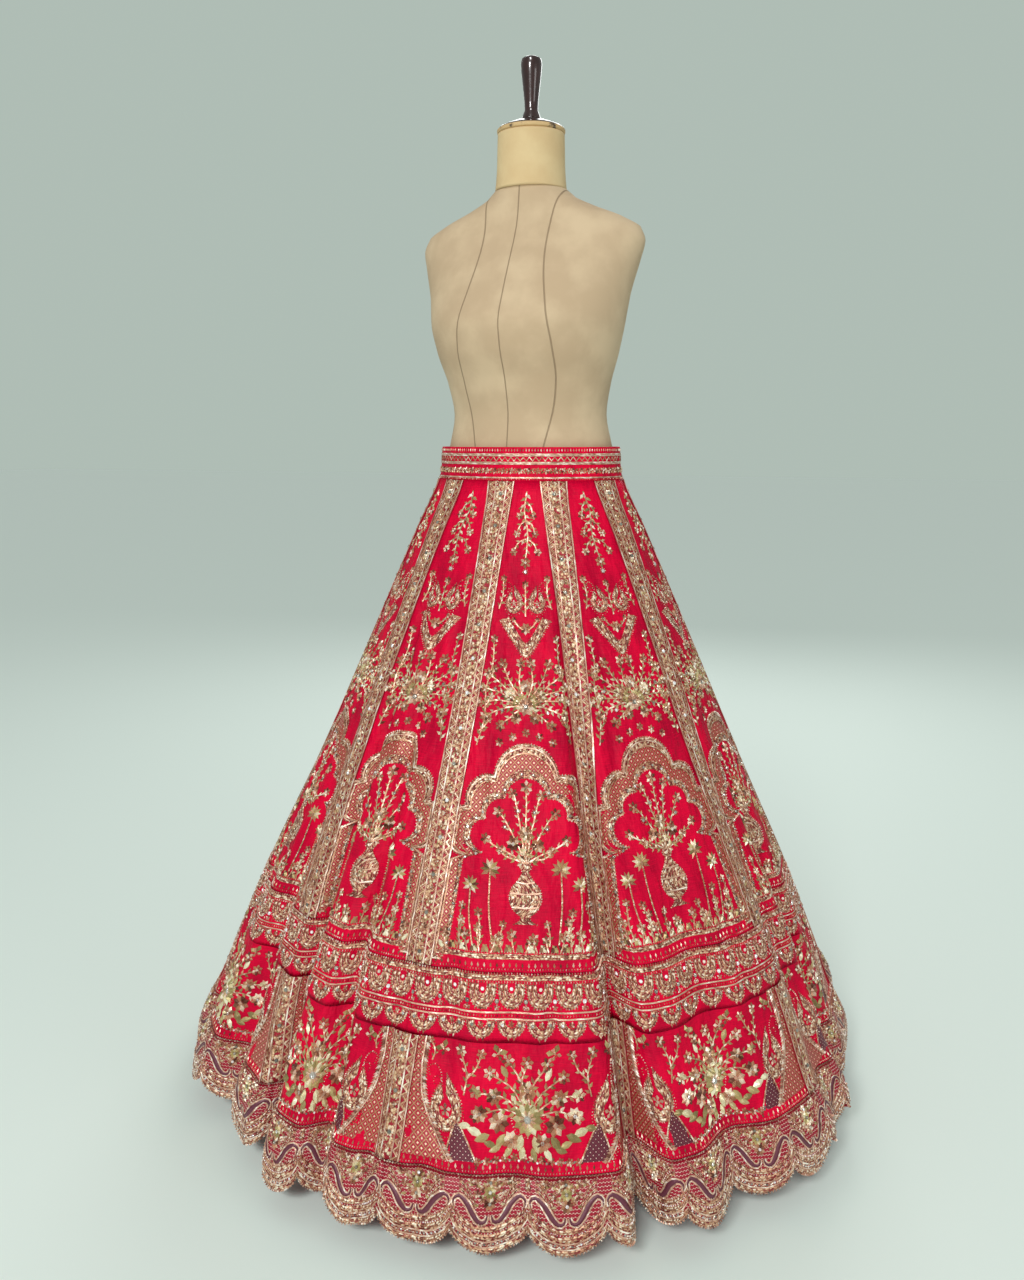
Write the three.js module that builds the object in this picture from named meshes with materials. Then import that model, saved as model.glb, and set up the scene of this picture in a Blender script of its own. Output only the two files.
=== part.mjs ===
// A bridal lehenga skirt worn by a limbless dress form on a round stand.
// Millimetres, +Z up. The origin is on the floor under the middle of the stand, and the form faces -Y.
//
// The skirt is cut as ten flared panels, called kalis, with a seam at the centre front. Embroidered tapes
// cover the seams, a wide border crosses all panels below the knee, and a scalloped border finishes the hem.
// An angle round the skirt is counted in degrees from the front, -Y, towards +X.

import * as THREE from 'three';

// ---- driving dimensions ----

const WAIST_TOP = 1011; // upper edge of the waistband above the floor
const WAIST_BOTTOM = 962; // lower edge of the waistband, where the panels start
const BORDER_TOP = 343; // the wide border below the knee
const BORDER_BOTTOM = 264;
const HEM_BORDER_TOP = 125; // where the scalloped hem border starts
const HEM_CUSP = 65; // the points between two scallops
const SCALLOP_DEPTH = 28; // how far a scallop hangs below its cusps
const SCALLOPS = 4; // per panel
const SCALLOP_STEPS = 3; // straight stretches per scallop

const CLOTH = 2.0; // thickness of the stitched and backed panel
const TAPE = 1.5; // thickness of an embroidered tape laid on a panel
const WAISTBAND = 3.0; // folded waistband
const WAISTBAND_PROUD = 1.0; // how far its face stands out from the panels
const LAID_ON = 0.3; // gap under anything laid on a panel
const HALF_SEAM = 0.15; // each edge is cut back by this, so pieces lie 0.3 mm apart
const TAPE_HALF = 20; // half width of a seam tape
const TAPE_TOP_CUT = 0.8; // cut off a tape's upper end, which leans outwards, so that it clears the waistband

// ---- the outline of the skirt ----

// half width and half depth of the skirt's ridges at heights from the waist to the hem
const OUTLINE = [
  { height: 1011, halfWidth: 141, halfDepth: 113 },
  { height: 962, halfWidth: 146, halfDepth: 118 },
  { height: 885, halfWidth: 181, halfDepth: 152 },
  { height: 683, halfWidth: 270, halfDepth: 248 },
  { height: 521, halfWidth: 341, halfDepth: 334 },
  { height: 358, halfWidth: 421, halfDepth: 419 },
  { height: 216, halfWidth: 484, halfDepth: 488 },
  { height: 143, halfWidth: 514, halfDepth: 520 },
  { height: 79, halfWidth: 548, halfDepth: 552 },
  { height: 30, halfWidth: 556, halfDepth: 560 },
];

// folds that fall from the hips: angle at the hem and where they start, half their width, all in degrees,
// then their depth at the hem and the height they start from
const FOLDS = [
  { hem: -40, top: -43, half: 6.5, depth: 40, start: 700 },
  { hem: -33, top: -33, half: 18, depth: 30, start: 620 },
  { hem: -24, top: -30, half: 4.6, depth: 60, start: 850 },
  { hem: -11, top: -18, half: 4.2, depth: 38, start: 860 },
  { hem: -3, top: -2, half: 3, depth: 10, start: 420 },
  { hem: 5, top: 7, half: 4, depth: 9, start: 380 },
  { hem: 18, top: 17, half: 6, depth: 9, start: 520 },
  { hem: 37, top: 32, half: 4.6, depth: 76, start: 880 },
  { hem: 52, top: 51, half: 9, depth: 30, start: 600 },
  { hem: 76, top: 72, half: 6, depth: 20, start: 740 },
  { hem: 87, top: 84, half: 7, depth: 48, start: 700 },
  { hem: 95, top: 95, half: 24, depth: 34, start: 540 },
  { hem: 112, top: 110, half: 9, depth: 46, start: 760 },
  { hem: 130, top: 129, half: 6, depth: 34, start: 600 },
  { hem: 148, top: 144, half: 7, depth: 56, start: 720 },
  { hem: 172, top: 170, half: 7, depth: 42, start: 800 },
  { hem: 196, top: 198, half: 6, depth: 54, start: 740 },
  { hem: 219, top: 221, half: 7, depth: 40, start: 620 },
  { hem: 241, top: 244, half: 6, depth: 54, start: 800 },
  { hem: 263, top: 262, half: 6, depth: 36, start: 640 },
  { hem: 286, top: 284, half: 7, depth: 56, start: 760 },
  { hem: 303, top: 302, half: 5, depth: 34, start: 600 },
];
const FOLD_END = 30; // height at which the folds have their full depth
const FOLD_GROWTH = 1.1; // above 1 they open slowly at first
const FOLD_SHARPNESS = 1.3; // above 1 the valleys are tighter than the ridges

// seams between the panels: angle at the waist and at the hem
const SEAMS = [
  { waist: 0, hem: 0 },
  { waist: 35, hem: 36 },
  { waist: 71, hem: 70 },
  { waist: 107, hem: 106 },
  { waist: 143, hem: 142 },
  { waist: 179, hem: 178 },
  { waist: 215, hem: 215 },
  { waist: 250, hem: 253 },
  { waist: 284, hem: 293 },
  { waist: 317, hem: 334 },
  { waist: 360, hem: 360 },
];
const PANELS = SEAMS.length - 1;

// heights of the panel's rows, from the waist down to the cusps of the hem
const PANEL_ROWS = [
  WAIST_BOTTOM - 2 * HALF_SEAM, 880, 780, 675, 560, 452, BORDER_TOP, BORDER_BOTTOM, 192, HEM_BORDER_TOP, HEM_CUSP,
];
const ROW_BORDER_TOP = PANEL_ROWS.indexOf(BORDER_TOP);
const ROW_BORDER_BOTTOM = PANEL_ROWS.indexOf(BORDER_BOTTOM);
const ROW_HEM_BORDER = PANEL_ROWS.indexOf(HEM_BORDER_TOP);
const ROW_HEM = PANEL_ROWS.length - 1;
const ARC_SAMPLES = 60; // points used to measure along one panel's ring

// ---- the dress form ----

// half width, half depth and how far forward the middle lies, at heights from the hips to the neck
const TORSO = [
  { height: 806, halfWidth: 128, halfDepth: 98, forward: 0 },
  { height: 812, halfWidth: 146, halfDepth: 114, forward: 0 },
  { height: 840, halfWidth: 154, halfDepth: 121, forward: 0 },
  { height: 880, halfWidth: 157, halfDepth: 122, forward: 0 },
  { height: 925, halfWidth: 149, halfDepth: 117, forward: 0 },
  { height: 965, halfWidth: 138, halfDepth: 110, forward: 0 },
  { height: 1011, halfWidth: 130, halfDepth: 103, forward: 0 },
  { height: 1060, halfWidth: 121, halfDepth: 95, forward: 2 },
  { height: 1110, halfWidth: 129, halfDepth: 103, forward: 7 },
  { height: 1150, halfWidth: 141, halfDepth: 117, forward: 13 },
  { height: 1190, halfWidth: 150, halfDepth: 122, forward: 15 },
  { height: 1235, halfWidth: 157, halfDepth: 108, forward: 8 },
  { height: 1280, halfWidth: 169, halfDepth: 90, forward: 0 },
  { height: 1310, halfWidth: 176, halfDepth: 77, forward: -5 },
  { height: 1330, halfWidth: 168, halfDepth: 69, forward: -7 },
  { height: 1346, halfWidth: 140, halfDepth: 64, forward: -7 },
  { height: 1362, halfWidth: 100, halfDepth: 60, forward: -6 },
  { height: 1376, halfWidth: 70, halfDepth: 56, forward: -4 },
  { height: 1388, halfWidth: 56, halfDepth: 52, forward: -2 },
];
const TORSO_SIDES = 32;
const ROUND_SIDES = 28;

// profiles turned about the upright axis: radius and height
const NECK = [
  { radius: 54, height: 1388.3 }, { radius: 52.5, height: 1402 }, { radius: 51, height: 1425 },
  { radius: 50.5, height: 1450 }, { radius: 50, height: 1468 },
];
const NECK_CAP = [
  { radius: 47, height: 1468.3 }, { radius: 50.5, height: 1470 }, { radius: 51, height: 1474 },
  { radius: 47, height: 1477.5 }, { radius: 28, height: 1485 }, { radius: 15, height: 1490 },
];
const HANDLE = [
  { radius: 14.5, height: 1490.3 }, { radius: 12.5, height: 1496 }, { radius: 10, height: 1503 },
  { radius: 10.2, height: 1512 }, { radius: 12.5, height: 1534 }, { radius: 15, height: 1556 },
  { radius: 15.6, height: 1566 }, { radius: 14.4, height: 1573 }, { radius: 9, height: 1576 },
];
const POLE = [{ radius: 16, height: 24.3 }, { radius: 16, height: 805.7 }];
const BASE = [
  { radius: 205, height: 0 }, { radius: 210, height: 4 }, { radius: 210, height: 10 }, { radius: 200, height: 14 },
  { radius: 60, height: 17 }, { radius: 30, height: 21 }, { radius: 26, height: 24 },
];

// ---- colours ----

const SILK = new THREE.MeshStandardMaterial({ color: 0xc40a38, roughness: 0.5, metalness: 0 });
const ZARI = new THREE.MeshStandardMaterial({ color: 0xc09a68, roughness: 0.4, metalness: 0.5 });
const CANVAS = new THREE.MeshStandardMaterial({ color: 0xdcc394, roughness: 0.9, metalness: 0 });
const WOOD = new THREE.MeshStandardMaterial({ color: 0x24140f, roughness: 0.3, metalness: 0 });
const IRON = new THREE.MeshStandardMaterial({ color: 0x232122, roughness: 0.5, metalness: 0.6 });

const skirt = new THREE.Group();

function add(name, geometry, material) {
  const mesh = new THREE.Mesh(geometry, material);
  mesh.name = name;
  skirt.add(mesh);
}

// ---- measuring the skirt's surface ----

const mix = (a, b, t) => a + (b - a) * t;
const radians = (degrees) => (degrees * Math.PI) / 180;

// a smooth curve through one column of a table whose heights go down or up
function along(table, column, height) {
  const rows = [...table].sort((a, b) => a.height - b.height);
  const last = rows.length - 1;
  const h = Math.min(Math.max(height, rows[0].height), rows[last].height);
  let i = 0;
  while (i < last - 1 && rows[i + 1].height < h) i += 1;
  const slope = (j) => {
    const low = rows[Math.max(j - 1, 0)];
    const high = rows[Math.min(j + 1, last)];
    return (high[column] - low[column]) / (high.height - low.height);
  };
  const step = rows[i + 1].height - rows[i].height;
  const t = (h - rows[i].height) / step;
  const start = (1 + 2 * t) * (1 - t) ** 2 * rows[i][column];
  const end = t * t * (3 - 2 * t) * rows[i + 1][column];
  return start + end + step * t * (1 - t) * ((1 - t) * slope(i) - t * slope(i + 1));
}

// how far the folds draw the cloth in at an angle and height
function foldDepth(angle, height) {
  let depth = 0;
  for (const fold of FOLDS) {
    if (height >= fold.start) continue;
    const fall = (fold.start - height) / (fold.start - FOLD_END);
    const middle = mix(fold.top, fold.hem, Math.min(fall, 1));
    const off = ((((angle - middle + 180) % 360) + 360) % 360) - 180;
    const across = Math.abs(off) / fold.half;
    if (across >= 1) continue;
    depth += fold.depth * fall ** FOLD_GROWTH * (0.5 + 0.5 * Math.cos(Math.PI * across)) ** FOLD_SHARPNESS;
  }
  return depth;
}

function onSkirt(angle, height) {
  const a = radians(angle);
  const wide = along(OUTLINE, 'halfWidth', height);
  const deep = along(OUTLINE, 'halfDepth', height);
  const radius = 1 / Math.hypot(Math.sin(a) / wide, Math.cos(a) / deep) - foldDepth(angle, height);
  return new THREE.Vector3(radius * Math.sin(a), -radius * Math.cos(a), height);
}

function outward(angle, height) {
  const across = onSkirt(angle + 0.3, height).sub(onSkirt(angle - 0.3, height));
  const down = onSkirt(angle, height - 3).sub(onSkirt(angle, height + 3));
  return down.cross(across).normalize();
}

// angles along one panel's ring at given distances, as shares of its width, or from its edges in millimetres
function ringOf(panel, height) {
  const fall = (WAIST_BOTTOM - height) / (WAIST_BOTTOM - HEM_CUSP);
  const from = mix(SEAMS[panel].waist, SEAMS[panel].hem, fall);
  const to = mix(SEAMS[panel + 1].waist, SEAMS[panel + 1].hem, fall);
  const lengths = [0];
  let before = onSkirt(from, height);
  for (let i = 1; i <= ARC_SAMPLES; i += 1) {
    const here = onSkirt(mix(from, to, i / ARC_SAMPLES), height);
    lengths.push(lengths[i - 1] + here.distanceTo(before));
    before = here;
  }
  const width = lengths[ARC_SAMPLES];
  const angleAt = (distance) => {
    let i = 1;
    while (i < ARC_SAMPLES && lengths[i] < distance) i += 1;
    const t = (distance - lengths[i - 1]) / (lengths[i] - lengths[i - 1]);
    return mix(from, to, (i - 1 + t) / ARC_SAMPLES);
  };
  return { width, angleAt };
}

// shares of the stretch between a panel's two tapes, so that at the hem the columns meet the scallops
function columnShares(hemWidth) {
  const between = hemWidth - 2 * TAPE_HALF;
  const columns = SCALLOPS * SCALLOP_STEPS;
  const shares = [];
  for (let i = 1; i < columns; i += 1) {
    let distance = (hemWidth * i) / columns;
    if (i === 1) distance = TAPE_HALF;
    if (i === 2) distance = (TAPE_HALF + hemWidth / SCALLOPS) / 2;
    if (i === columns - 2) distance = hemWidth - (TAPE_HALF + hemWidth / SCALLOPS) / 2;
    if (i === columns - 1) distance = hemWidth - TAPE_HALF;
    shares.push((distance - TAPE_HALF) / between);
  }
  return shares;
}

const COLUMNS = SCALLOPS * SCALLOP_STEPS; // of one panel

// the points of one row of a panel, from its left seam up to the next panel's
function panelRow(panel, row) {
  const height = PANEL_ROWS[row];
  const ring = ringOf(panel, height);
  const shares = columnShares(ringOf(panel, HEM_CUSP).width);
  const inside = shares.map((share) => mix(TAPE_HALF, ring.width - TAPE_HALF, share));
  return [0, ...inside].map((distance, column) => {
    const onCusp = column % SCALLOP_STEPS === 0;
    const drop = row === ROW_HEM && !onCusp ? SCALLOP_DEPTH : 0;
    return onSkirt(ring.angleAt(distance), height - drop);
  });
}

// the way from one point past another to a third, as an even mean of both stretches
function way(before, here, after) {
  const to = here.clone().sub(before).normalize();
  const from = after.clone().sub(here).normalize();
  return to.add(from);
}

// every crossing of a row and a column round the whole skirt: its point and the way off the cloth
function skirtGrid() {
  const points = PANEL_ROWS.map((height, row) => {
    const ring = [];
    for (let panel = 0; panel < PANELS; panel += 1) ring.push(...panelRow(panel, row));
    return ring;
  });
  const around = points[0].length;
  return points.map((ring, row) => ring.map((point, column) => {
    const across = way(ring[(column + around - 1) % around], point, ring[(column + 1) % around]);
    const above = points[Math.max(row - 1, 0)][column];
    const below = points[Math.min(row + 1, ROW_HEM)][column];
    return { point, off: way(above, point, below).cross(across).normalize() };
  }));
}

const grid = skirtGrid();

// the crossings of some rows, over a number of columns from a first one
function stretch(firstRow, lastRow, firstColumn, columns) {
  const rows = [];
  for (let row = firstRow; row <= lastRow; row += 1) {
    const ring = grid[row];
    const crossings = [];
    for (let i = 0; i <= columns; i += 1) crossings.push(ring[(firstColumn + i + ring.length) % ring.length]);
    rows.push(crossings);
  }
  return rows;
}

// ---- building closed solids ----

function solidFrom(triangles) {
  const geometry = new THREE.BufferGeometry();
  const positions = triangles.flatMap((corners) => corners.flatMap((p) => [p.x, p.y, p.z]));
  geometry.setAttribute('position', new THREE.Float32BufferAttribute(positions, 3));
  geometry.computeVertexNormals();
  return geometry;
}

function quad(triangles, a, b, c, d) {
  triangles.push([a, b, c], [a, c, d]);
}

// a wall between two grids of points whose rows go down and whose columns go towards +X at the front;
// its two side faces are split the same way, so that twisted neighbours lie parallel
function wallBetween(outer, inner) {
  const rows = outer.length - 1;
  const columns = outer[0].length - 1;
  const triangles = [];
  for (let r = 0; r < rows; r += 1) {
    for (let c = 0; c < columns; c += 1) {
      quad(triangles, outer[r][c], outer[r + 1][c], outer[r + 1][c + 1], outer[r][c + 1]);
      triangles.push([inner[r][c], inner[r + 1][c + 1], inner[r + 1][c]]);
      triangles.push([inner[r][c], inner[r][c + 1], inner[r + 1][c + 1]]);
    }
    quad(triangles, inner[r][0], inner[r + 1][0], outer[r + 1][0], outer[r][0]);
    quad(triangles, outer[r + 1][columns], inner[r + 1][columns], inner[r][columns], outer[r][columns]);
  }
  for (let c = 0; c < columns; c += 1) {
    quad(triangles, inner[0][c], outer[0][c], outer[0][c + 1], inner[0][c + 1]);
    quad(triangles, inner[rows][c], inner[rows][c + 1], outer[rows][c + 1], outer[rows][c]);
  }
  return solidFrom(triangles);
}

// moves an edge's points towards their neighbours, so that two pieces leave a seam between them
function cutBack(points, { top = 0, bottom = 0, left = 0, right = 0 }) {
  const rows = points.length - 1;
  const columns = points[0].length - 1;
  const cut = points.map((row) => row.map((p) => p.clone()));
  const step = (r, c, toRow, toColumn, distance) => {
    const way = points[toRow][toColumn].clone().sub(points[r][c]).normalize();
    cut[r][c].addScaledVector(way, distance);
  };
  for (let c = 0; c <= columns; c += 1) {
    if (top) step(0, c, 1, c, top);
    if (bottom) step(rows, c, rows - 1, c, bottom);
  }
  for (let r = 0; r <= rows; r += 1) {
    if (left) step(r, 0, r, 1, left);
    if (right) step(r, columns, r, columns - 1, right);
  }
  return cut;
}

// a piece of cloth over some of the grid's crossings, from one distance off the surface to another
function clothOver(crossings, from, to, cuts) {
  const at = (offset) => crossings.map((row) => row.map(({ point, off }) => (
    point.clone().addScaledVector(off, offset)
  )));
  return wallBetween(cutBack(at(to), cuts), cutBack(at(from), cuts));
}

// a closed body of rings about an upright line, with a flat top and bottom
function lofted(rings, sides) {
  const circles = rings.map(({ height, halfWidth, halfDepth, forward }) => {
    const points = [];
    for (let i = 0; i < sides; i += 1) {
      const a = (2 * Math.PI * i) / sides;
      points.push(new THREE.Vector3(halfWidth * Math.sin(a), -halfDepth * Math.cos(a) - forward, height));
    }
    return points;
  });
  const triangles = [];
  for (let r = 0; r < circles.length - 1; r += 1) {
    for (let i = 0; i < sides; i += 1) {
      const next = (i + 1) % sides;
      quad(triangles, circles[r][i], circles[r][next], circles[r + 1][next], circles[r + 1][i]);
    }
  }
  const bottom = circles[0];
  const top = circles[circles.length - 1];
  const middleOf = (points) => points.reduce((sum, p) => sum.add(p), new THREE.Vector3()).divideScalar(sides);
  for (let i = 0; i < sides; i += 1) {
    const next = (i + 1) % sides;
    triangles.push([middleOf(bottom), bottom[next], bottom[i]]);
    triangles.push([middleOf(top), top[i], top[next]]);
  }
  return solidFrom(triangles);
}

const turned = (profile) => lofted(
  profile.map(({ radius, height }) => ({ height, halfWidth: radius, halfDepth: radius, forward: 0 })),
  ROUND_SIDES,
);

const number = (index) => String(index + 1).padStart(2, '0');
const onTop = [LAID_ON, LAID_ON + TAPE];

// ---- the panels, from waistband to scalloped hem ----

for (let panel = 0; panel < PANELS; panel += 1) {
  const crossings = stretch(0, ROW_HEM, panel * COLUMNS, COLUMNS);
  const cuts = { left: HALF_SEAM, right: HALF_SEAM };
  add(`panel_${number(panel)}`, clothOver(crossings, -CLOTH, 0, cuts), SILK);
}

// ---- the seam tapes, over the last column of one panel and the first of the next ----

for (let seam = 0; seam < PANELS; seam += 1) {
  const upper = stretch(0, ROW_BORDER_TOP, seam * COLUMNS - 1, 2);
  add(`seam_tape_${number(seam)}`, clothOver(upper, ...onTop, { top: TAPE_TOP_CUT, bottom: HALF_SEAM }), ZARI);
  const lower = stretch(ROW_BORDER_BOTTOM, ROW_HEM_BORDER, seam * COLUMNS - 1, 2);
  const cuts = { top: HALF_SEAM, bottom: HALF_SEAM };
  add(`hem_seam_tape_${number(seam)}`, clothOver(lower, ...onTop, cuts), ZARI);
}

// ---- the wide border, in lengths that cross two panels each ----

const BORDER_LENGTHS = PANELS / 2;
for (let length = 0; length < BORDER_LENGTHS; length += 1) {
  const crossings = stretch(ROW_BORDER_TOP, ROW_BORDER_BOTTOM, 2 * length * COLUMNS, 2 * COLUMNS);
  const cuts = { top: HALF_SEAM, bottom: HALF_SEAM, left: HALF_SEAM, right: HALF_SEAM };
  add(`knee_border_${number(length)}`, clothOver(crossings, ...onTop, cuts), ZARI);
}

// ---- the scalloped hem border, one length on each panel ----

for (let panel = 0; panel < PANELS; panel += 1) {
  const crossings = stretch(ROW_HEM_BORDER, ROW_HEM, panel * COLUMNS, COLUMNS);
  const cuts = { top: HALF_SEAM, bottom: 2 * HALF_SEAM, left: HALF_SEAM, right: HALF_SEAM };
  add(`hem_border_${number(panel)}`, clothOver(crossings, ...onTop, cuts), ZARI);
}

// ---- the waistband, a front and a back that meet at the sides ----

const WAISTBAND_STEPS = 20;
for (const [name, middle] of [['waistband_front', 0], ['waistband_back', 180]]) {
  const row = (height) => {
    const points = [];
    for (let i = 0; i <= WAISTBAND_STEPS; i += 1) {
      const angle = middle - 90 + (180 * i) / WAISTBAND_STEPS;
      points.push({ point: onSkirt(angle, height), off: outward(angle, height) });
    }
    return points;
  };
  const crossings = [row(WAIST_TOP), row(WAIST_BOTTOM)];
  const faces = [WAISTBAND_PROUD - WAISTBAND, WAISTBAND_PROUD];
  add(name, clothOver(crossings, ...faces, { left: HALF_SEAM, right: HALF_SEAM }), ZARI);
}

// ---- the dress form and its stand ----

add('form_torso', lofted(TORSO, TORSO_SIDES), CANVAS);
add('form_neck', turned(NECK), CANVAS);
add('neck_cap', turned(NECK_CAP), WOOD);
add('neck_handle', turned(HANDLE), WOOD);
add('stand_pole', turned(POLE), IRON);
add('stand_base', turned(BASE), IRON);

export default skirt;
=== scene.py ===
import math

import bpy
import numpy as np
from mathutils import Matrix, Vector


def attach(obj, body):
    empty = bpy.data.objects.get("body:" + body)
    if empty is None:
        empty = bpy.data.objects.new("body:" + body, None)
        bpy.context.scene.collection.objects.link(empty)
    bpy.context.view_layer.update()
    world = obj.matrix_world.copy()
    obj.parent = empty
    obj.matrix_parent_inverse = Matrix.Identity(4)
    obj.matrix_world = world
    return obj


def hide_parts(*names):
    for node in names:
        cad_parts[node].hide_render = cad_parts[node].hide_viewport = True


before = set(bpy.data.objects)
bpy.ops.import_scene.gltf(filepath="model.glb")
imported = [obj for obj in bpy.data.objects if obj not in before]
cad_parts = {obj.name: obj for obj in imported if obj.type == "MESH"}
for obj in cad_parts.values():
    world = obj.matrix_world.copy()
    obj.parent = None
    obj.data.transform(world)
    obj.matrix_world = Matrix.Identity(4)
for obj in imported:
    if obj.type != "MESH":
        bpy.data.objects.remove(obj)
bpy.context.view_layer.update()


MM = 0.001

# ---- The skirt's hang ----
# A crimson raw-silk skirt cut as ten flared panels, which stands away from the legs over a stiff underskirt.
# Its form is a ring at every height: an oval at the waist, a circle at the hem, drawn in by uneven folds.

WAIST_TOP, WAIST_BOTTOM = 1011.0, 961.7  # waistband's and panels' upper edges, in millimetres above the floor
BORDER_TOP, BORDER_BOTTOM, HEM_BORDER_TOP = 343.0, 264.0, 125.0  # heights of the borders laid on the panels
HEM_CUSP = 65.0
SCALLOP_DEPTH = 28.0
SCALLOPS = 4  # per panel
PANELS = 10

OUTLINE = np.array([  # height, half width, half depth
    (1011, 141, 113), (962, 146, 118), (885, 181, 152), (683, 270, 248), (521, 341, 334),
    (358, 421, 419), (216, 484, 488), (143, 514, 520), (79, 548, 552), (30, 556, 560)][::-1], float)
FOLDS = np.array([  # angle at the hem, angle at its start, half width in degrees, depth, height of its start
    (-40, -43, 6.5, 40, 700), (-33, -33, 18, 30, 620), (-24, -30, 4.6, 60, 850),
    (-11, -18, 4.2, 38, 860), (-3, -2, 3, 10, 420), (5, 7, 4, 9, 380), (18, 17, 6, 9, 520),
    (37, 32, 4.6, 76, 880), (52, 51, 9, 30, 600), (76, 72, 6, 20, 740), (87, 84, 7, 48, 700),
    (95, 95, 24, 34, 540), (112, 110, 9, 46, 760), (130, 129, 6, 34, 600), (148, 144, 7, 56, 720),
    (172, 170, 7, 42, 800), (196, 198, 6, 54, 740), (219, 221, 7, 40, 620), (241, 244, 6, 54, 800),
    (263, 262, 6, 36, 640), (286, 284, 7, 56, 760), (303, 302, 5, 34, 600)], float)
FOLD_END, FOLD_GROWTH, FOLD_SHARPNESS = 30.0, 1.1, 1.3
LOWEST = 31.0  # height at which the fine grid of a panel ends
CREASES = np.array([  # angle, slant towards the hem, half width in degrees, depth, heights of its two ends
    (-62, 6, 3.2, 3.5, 800, 330), (-47, -5, 2.6, 4.0, 690, 210), (-29, -4, 2.2, 3.2, 900, 470),
    (-15, 5, 2.6, 3.6, 640, 250), (-7, -6, 3.0, 2.6, 860, 520), (2, 8, 2.8, 3.4, 560, 170),
    (11, -5, 2.4, 3.0, 760, 360), (22, 4, 2.6, 3.8, 430, 110), (27, -3, 2.4, 3.2, 880, 560),
    (33, 7, 2.8, 4.2, 640, 230), (46, -6, 3.0, 3.6, 780, 400), (58, 5, 2.8, 4.0, 520, 150),
    (70, -4, 3.0, 3.2, 820, 480), (83, 6, 3.4, 4.2, 600, 200), (121, -5, 3.2, 3.8, 740, 300),
    (139, 6, 3.0, 3.4, 560, 160), (160, -6, 3.2, 4.2, 820, 380), (184, 5, 3.0, 3.6, 620, 220),
    (208, -5, 3.0, 3.8, 780, 420), (230, 6, 3.2, 3.4, 540, 170), (252, -4, 3.0, 4.0, 720, 340),
    (275, 5, 3.0, 3.6, 600, 190)], float)
SEAM_ANGLES = np.array([  # at the waist and at the hem
    (0, 0), (35, 36), (71, 70), (107, 106), (143, 142), (179, 178), (215, 215), (250, 253), (284, 293),
    (317, 334), (360, 360)], float)


def outline(height):
    """Half width and half depth of the ridges at each height, on a smooth curve through the table."""
    h = np.clip(height, OUTLINE[0, 0], OUTLINE[-1, 0])
    i = np.clip(np.searchsorted(OUTLINE[:, 0], h) - 1, 0, len(OUTLINE) - 2)
    slopes = np.gradient(OUTLINE[:, 1:], axis=0) / np.gradient(OUTLINE[:, 0])[:, None]
    slopes[1:-1] = (OUTLINE[2:, 1:] - OUTLINE[:-2, 1:]) / (OUTLINE[2:, :1] - OUTLINE[:-2, :1])
    step = (OUTLINE[i + 1, 0] - OUTLINE[i, 0])[..., None]
    t = (h - OUTLINE[i, 0])[..., None] / step
    ends = (1 + 2 * t) * (1 - t) ** 2 * OUTLINE[i, 1:] + t * t * (3 - 2 * t) * OUTLINE[i + 1, 1:]
    return ends + step * t * (1 - t) * ((1 - t) * slopes[i] - t * slopes[i + 1])


def on_skirt(angle, height):
    """Points on the skirt's outer face, in millimetres. Angles are in degrees from -Y towards +X."""
    angle, height = np.broadcast_arrays(np.asarray(angle, float), np.asarray(height, float))
    drawn_in = np.zeros(angle.shape)
    for hem, top, half, depth, start in FOLDS:
        fall = np.clip((start - height) / (start - FOLD_END), 0, 1)
        off = (angle - (top + (hem - top) * fall) + 180) % 360 - 180
        across = np.clip(np.abs(off) / half, 0, 1)
        drawn_in += depth * fall ** FOLD_GROWTH * (0.5 + 0.5 * np.cos(np.pi * across)) ** FOLD_SHARPNESS
    for middle, slant, half, depth, top, bottom in CREASES:
        share = np.clip((top - height) / (top - bottom), 0, 1)
        off = (angle - (middle + slant * share) + 180) % 360 - 180
        across = np.clip(np.abs(off) / half, 0, 1)
        drawn_in += depth * np.sin(np.pi * share) * (0.5 + 0.5 * np.cos(np.pi * across))
    a = np.radians(angle)
    size = outline(height)
    radius = 1 / np.hypot(np.sin(a) / size[..., 0], np.cos(a) / size[..., 1]) - drawn_in
    return np.stack([radius * np.sin(a), -radius * np.cos(a), height], -1)


# distance down the cloth from the waistband, at a list of heights
FALL_HEIGHTS = np.linspace(FOLD_END, WAIST_TOP, 400)
FALL_RADII = outline(FALL_HEIGHTS).mean(-1)
steps = np.hypot(np.diff(FALL_HEIGHTS), np.diff(FALL_RADII))
FALLS = np.concatenate([[0], np.cumsum(steps)])
FALLS = np.interp(WAIST_BOTTOM, FALL_HEIGHTS, FALLS) - FALLS


def fall_at(height):
    return np.interp(height, FALL_HEIGHTS, FALLS)


def height_at(fall):
    return np.interp(-np.asarray(fall), -FALLS, FALL_HEIGHTS)


WAIST_WIDTH, HEM_WIDTH = 80.0, 405.0  # of one panel as it is cut
LENGTH = float(fall_at(HEM_CUSP))


def panel_width(fall):
    return WAIST_WIDTH + (HEM_WIDTH - WAIST_WIDTH) * np.clip(fall / LENGTH, 0, 1.1)


def scallop(share):
    """How far the hem hangs below its cusps, along a panel's width from 0 to 1."""
    return SCALLOP_DEPTH * np.abs(np.sin(np.pi * SCALLOPS * share)) ** 0.7


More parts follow.
